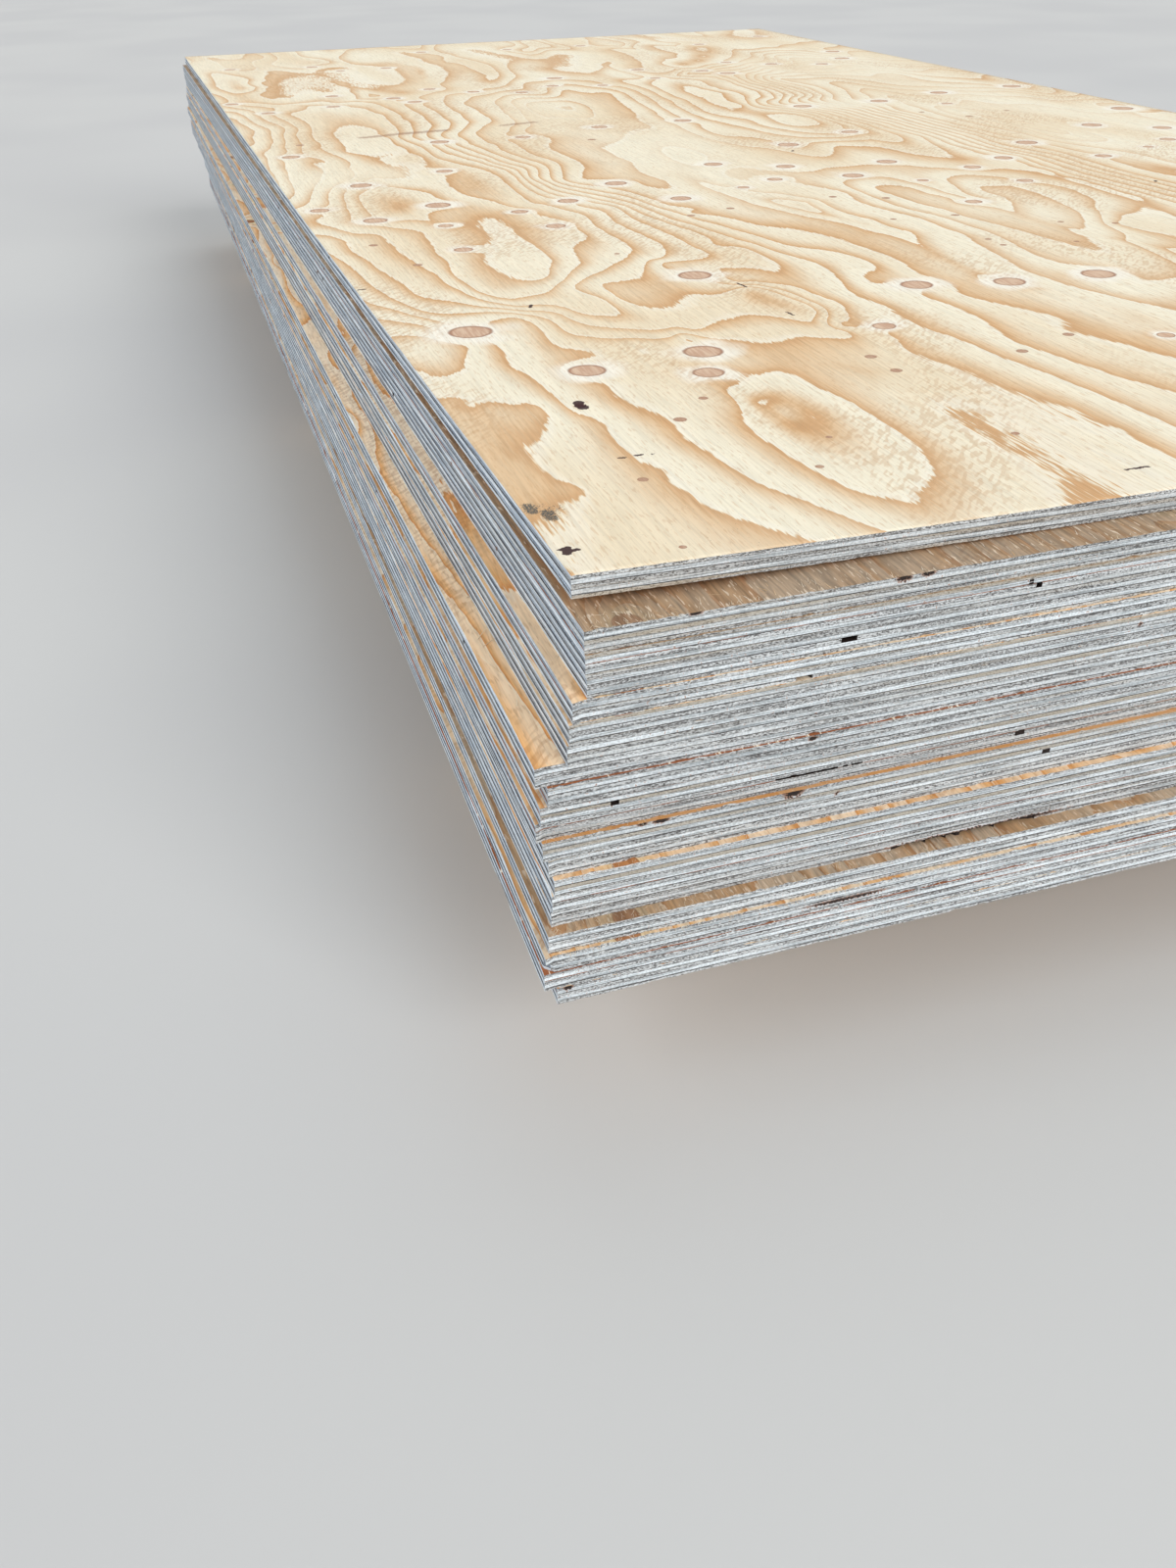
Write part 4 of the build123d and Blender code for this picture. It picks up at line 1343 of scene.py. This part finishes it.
def buildFibres(settings, material):
    draw = np.random.default_rng(settings["seed"])
    points, faces, bleached = [], [], []
    upward = np.array([0.0, 0.0, 1.0])
    outlines = {n: outlineOf(f"sheet_{n:02d}") for n in range(1, topSheet + 1)}

    def sliver(sheet, u, v, height, turn, lift, length, width, bend, pale):
        corner, alongShort, alongLong, short, long, foot = outlines[sheet]
        heading = np.append(alongShort * math.sin(turn) + alongLong * math.cos(turn), lift)
        heading = heading / np.linalg.norm(heading)
        root = np.append(corner + alongShort * u + alongLong * v, foot + height)
        addSliver(points, faces, root, heading, upward, length, width, bend)
        bleached.extend([pale] * sliverFaces)

    kind = settings["slivers"]
    crowdedAlong, crowdedIn = kind["crowding"]
    outward, back = settings["headings"]
    for sheet, (count, reach) in settings["nearStrips"].items():
        for _ in range(count):
            # most stand at the arris, more of them near the camera
            u = kind["over"] * draw.random() ** crowdedAlong + kind["from"]
            v = reach * draw.random() ** crowdedIn + kind["inFrom"]
            out = draw.random() < settings["turnedOut"]
            turn = math.pi + draw.normal(0, outward) if out else draw.normal(0, back)
            length = draw.uniform(*kind["lengths"])
            sliver(sheet, u, v, kind["height"], turn, draw.uniform(*kind["lifts"]),
                   min(length, v + kind["reachOver"]), draw.uniform(*kind["widths"]),
                   draw.uniform(*kind["bends"]), draw.uniform(*kind["bleached"]))
    kind = settings["fuzz"]
    stray = kind["stray"]
    for sheet in outlines:
        for _ in range(settings["edgeFuzz"]):
            u = kind["over"] * draw.random() ** kind["crowding"] + kind["from"]
            height = draw.choice(kind["heights"]) + draw.uniform(-stray, stray)
            if sheet == topSheet:
                height += float(curlLift(u, 0.0, height, sheetSettings["curl"]))
            turn = draw.choice([-1, 1]) * (math.pi / 2 + draw.uniform(*kind["turnedOut"]))
            sliver(sheet, u, kind["in"], height, turn, draw.uniform(*kind["lifts"]),
                   draw.uniform(*kind["lengths"]), draw.uniform(*kind["widths"]),
                   draw.uniform(*kind["bends"]), draw.uniform(*kind["bleached"]))
    kind = settings["hair"]
    for sheet, u, v, length, degrees in settings["hairs"]:
        sliver(sheet, u, v, kind["height"], math.radians(degrees), kind["lift"], length, kind["width"],
               draw.uniform(*kind["bends"]), kind["bleached"])
    margin = settings["boxMargin"] * mm
    placed = np.clip(np.array(points) * mm, np.array(cadLow) + margin, np.array(cadHigh) - margin)
    piece = addPiece("tornFibres", placed, faces, [material], {"bleached": bleached})
    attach(piece, "root")
    return len(faces)


print("torn fibres made,", buildFibres(fibreSettings, makeFibreWood(fibreColours)), "faces")


# Bearers: rough sawn timber under the stack, each in the CAD bearer's place. All in mm
bearerSettings = {
    "stations": 9.0,           # steps along the length
    "sideParts": 11,           # points across each side of the section
    "chamfer": 4.0,
    "endRings": (0.86, 0.66, 0.44, 0.22),    # rings of points on the sawn ends, as shares of the section
    "endDent": 0.4,
    "sawMark": (0.22, 6.3),    # depth and pitch of the saw's marks
    "sawDrift": (3, 90),       # how they drift along the timber
    "wear": 0.35,
    "pith": (14.0, -30.0),     # middle of the growth rings, from the middle of the section
    "ringPitch": 4.2,
    "ringWaves": (4, 160, 900),
    "seed": 90,
}
timberColours = {
    "pale": paint(206, 172, 124),
    "dark": paint(168, 124, 78),
    "worn": paint(148, 126, 104),
    "split": paint(84, 60, 42),
}


def makeSawnTimber(colours):
    material, tree, shader, position = newMaterial("sawnTimber")
    streak = drawnOutNoise(tree, position, (14.0, 260.0, 260.0), 2.0, 0.65)
    field = attributeOf(tree, "timberRing")
    rings = useGroup(tree, ringBands, {"Field": field, "Feather": streak, "Feathering": 0.5})
    worn = noise(tree, position, 22.0, 2.0, 0.6)
    colour = layered(
        tree, colours["pale"],
        (times(tree, rings["Wash"], 0.8), colours["dark"]),
        (soften(tree, worn, 0.45, 0.75, 0.0, 0.6), colours["worn"]),
    )
    colour = shadeBy(tree, colour, soften(tree, streak, 0.3, 0.7, 0.82, 1.06))
    colour = layered(tree, colour, (soften(tree, streak, 0.30, 0.24, 0.0, 0.7), colours["split"]))
    finishSurface(tree, shader, colour, soften(tree, streak, 0.2, 0.8, 0.9, 0.76), streak, 0.0006, 0.9)
    return material


def bearerSection(halfWidth, height, chamfer, parts):
    # points round the section from its lowest left corner: across and up
    corners = [(-halfWidth + chamfer, 0), (halfWidth - chamfer, 0), (halfWidth, chamfer),
               (halfWidth, height - chamfer), (halfWidth - chamfer, height), (-halfWidth + chamfer, height),
               (-halfWidth, height - chamfer), (-halfWidth, chamfer)]
    points = []
    for index, (a, b) in enumerate(corners):
        c, d = corners[(index + 1) % 8]
        count = parts if index % 2 == 0 else 2
        points += [(a + (c - a) * k / count, b + (d - b) * k / count) for k in range(count)]
    return np.array(points)


def buildBearer(name, settings, material):
    low, high = [np.array(corner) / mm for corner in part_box(name)]
    draw = np.random.default_rng(settings["seed"] + int(name[-1]))
    halfWidth, height = (high[1] - low[1]) / 2, high[2] - low[2]
    section = bearerSection(halfWidth, height, settings["chamfer"], settings["sideParts"])
    around = len(section)
    neighbours = [(i, (i + 1) % around) for i in range(around)]
    length = high[0] - low[0]
    count = int(length / settings["stations"])
    middle = np.array([0.0, height / 2])
    depth, pitch = settings["sawMark"]
    drift, driftLength = settings["sawDrift"]
    points, faces = [], []
    for x in np.linspace(0, length, count + 1):
        turn = 2 * math.pi * x / pitch + drift * math.sin(x / driftLength)
        mark = depth * (0.5 + 0.5 * math.sin(turn))
        inward = (mark + settings["wear"] * draw.random(around)) / halfWidth
        points += [(x, a, b) for a, b in middle + (section - middle) * (1 - inward)[:, None]]
    for k in range(count):
        first, second = k * around, (k + 1) * around
        faces += [(first + i, second + i, second + j, first + j) for i, j in neighbours]
    # the sawn ends, in rings of points towards the middle
    for end, outer, inwards in ((0.0, 0, 1), (length, count * around, -1)):
        for share in settings["endRings"]:
            inner = len(points)
            dents = inwards * settings["endDent"] * draw.random(around)
            ring = middle + (section - middle) * share
            points += [(end + dent, a, b) for dent, (a, b) in zip(dents, ring)]
            faces += [(outer + i, outer + j, inner + j, inner + i)[::inwards] for i, j in neighbours]
            outer = inner
        faces.append(tuple(range(outer, outer + around))[::inwards])
    points = np.array(points)
    # growth rings round the pith, wavering along the timber
    pithAcross, pithUp = settings["pith"]
    waver = waves(points[:, 0], points[:, 1], settings["ringWaves"], settings["seed"])
    fromPith = np.hypot(points[:, 1] - pithAcross + waver, points[:, 2] - pithUp + waver)
    rings = fromPith / settings["ringPitch"]
    placed = points + np.array([low[0], (low[1] + high[1]) / 2, low[2]])
    piece = addPiece("sawnBearer_" + name[-1], placed * mm, faces, [material], {"timberRing": rings})
    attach(piece, "root")
    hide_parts(name)


sawnTimber = makeSawnTimber(timberColours)
for bearerName in ("bearer_1", "bearer_2", "bearer_3"):
    buildBearer(bearerName, bearerSettings, sawnTimber)
print("bearers made")


# Floor
floorSettings = {"colour": paint(206, 206, 204), "shade": paint(200, 200, 199), "half": 30.0}


def makeFloor(settings):
    material, tree, shader, position = newMaterial("paleFloor")
    mottle = noise(tree, position, 1.3, 1.0, 0.6)
    colour = blendColour(tree, soften(tree, mottle, 0.3, 0.7), settings["colour"], settings["shade"])
    roughness = soften(tree, mottle, 0.3, 0.7, 0.75, 0.85)
    finishSurface(tree, shader, colour, roughness, mottle, 0.0002)
    half = settings["half"]
    corners = np.array([(-half, -half, 0), (half, -half, 0), (half, half, 0), (-half, half, 0)])
    floor = addPiece("floor", corners, [(0, 1, 2, 3)], [material], {})


makeFloor(floorSettings)
print("floor laid")
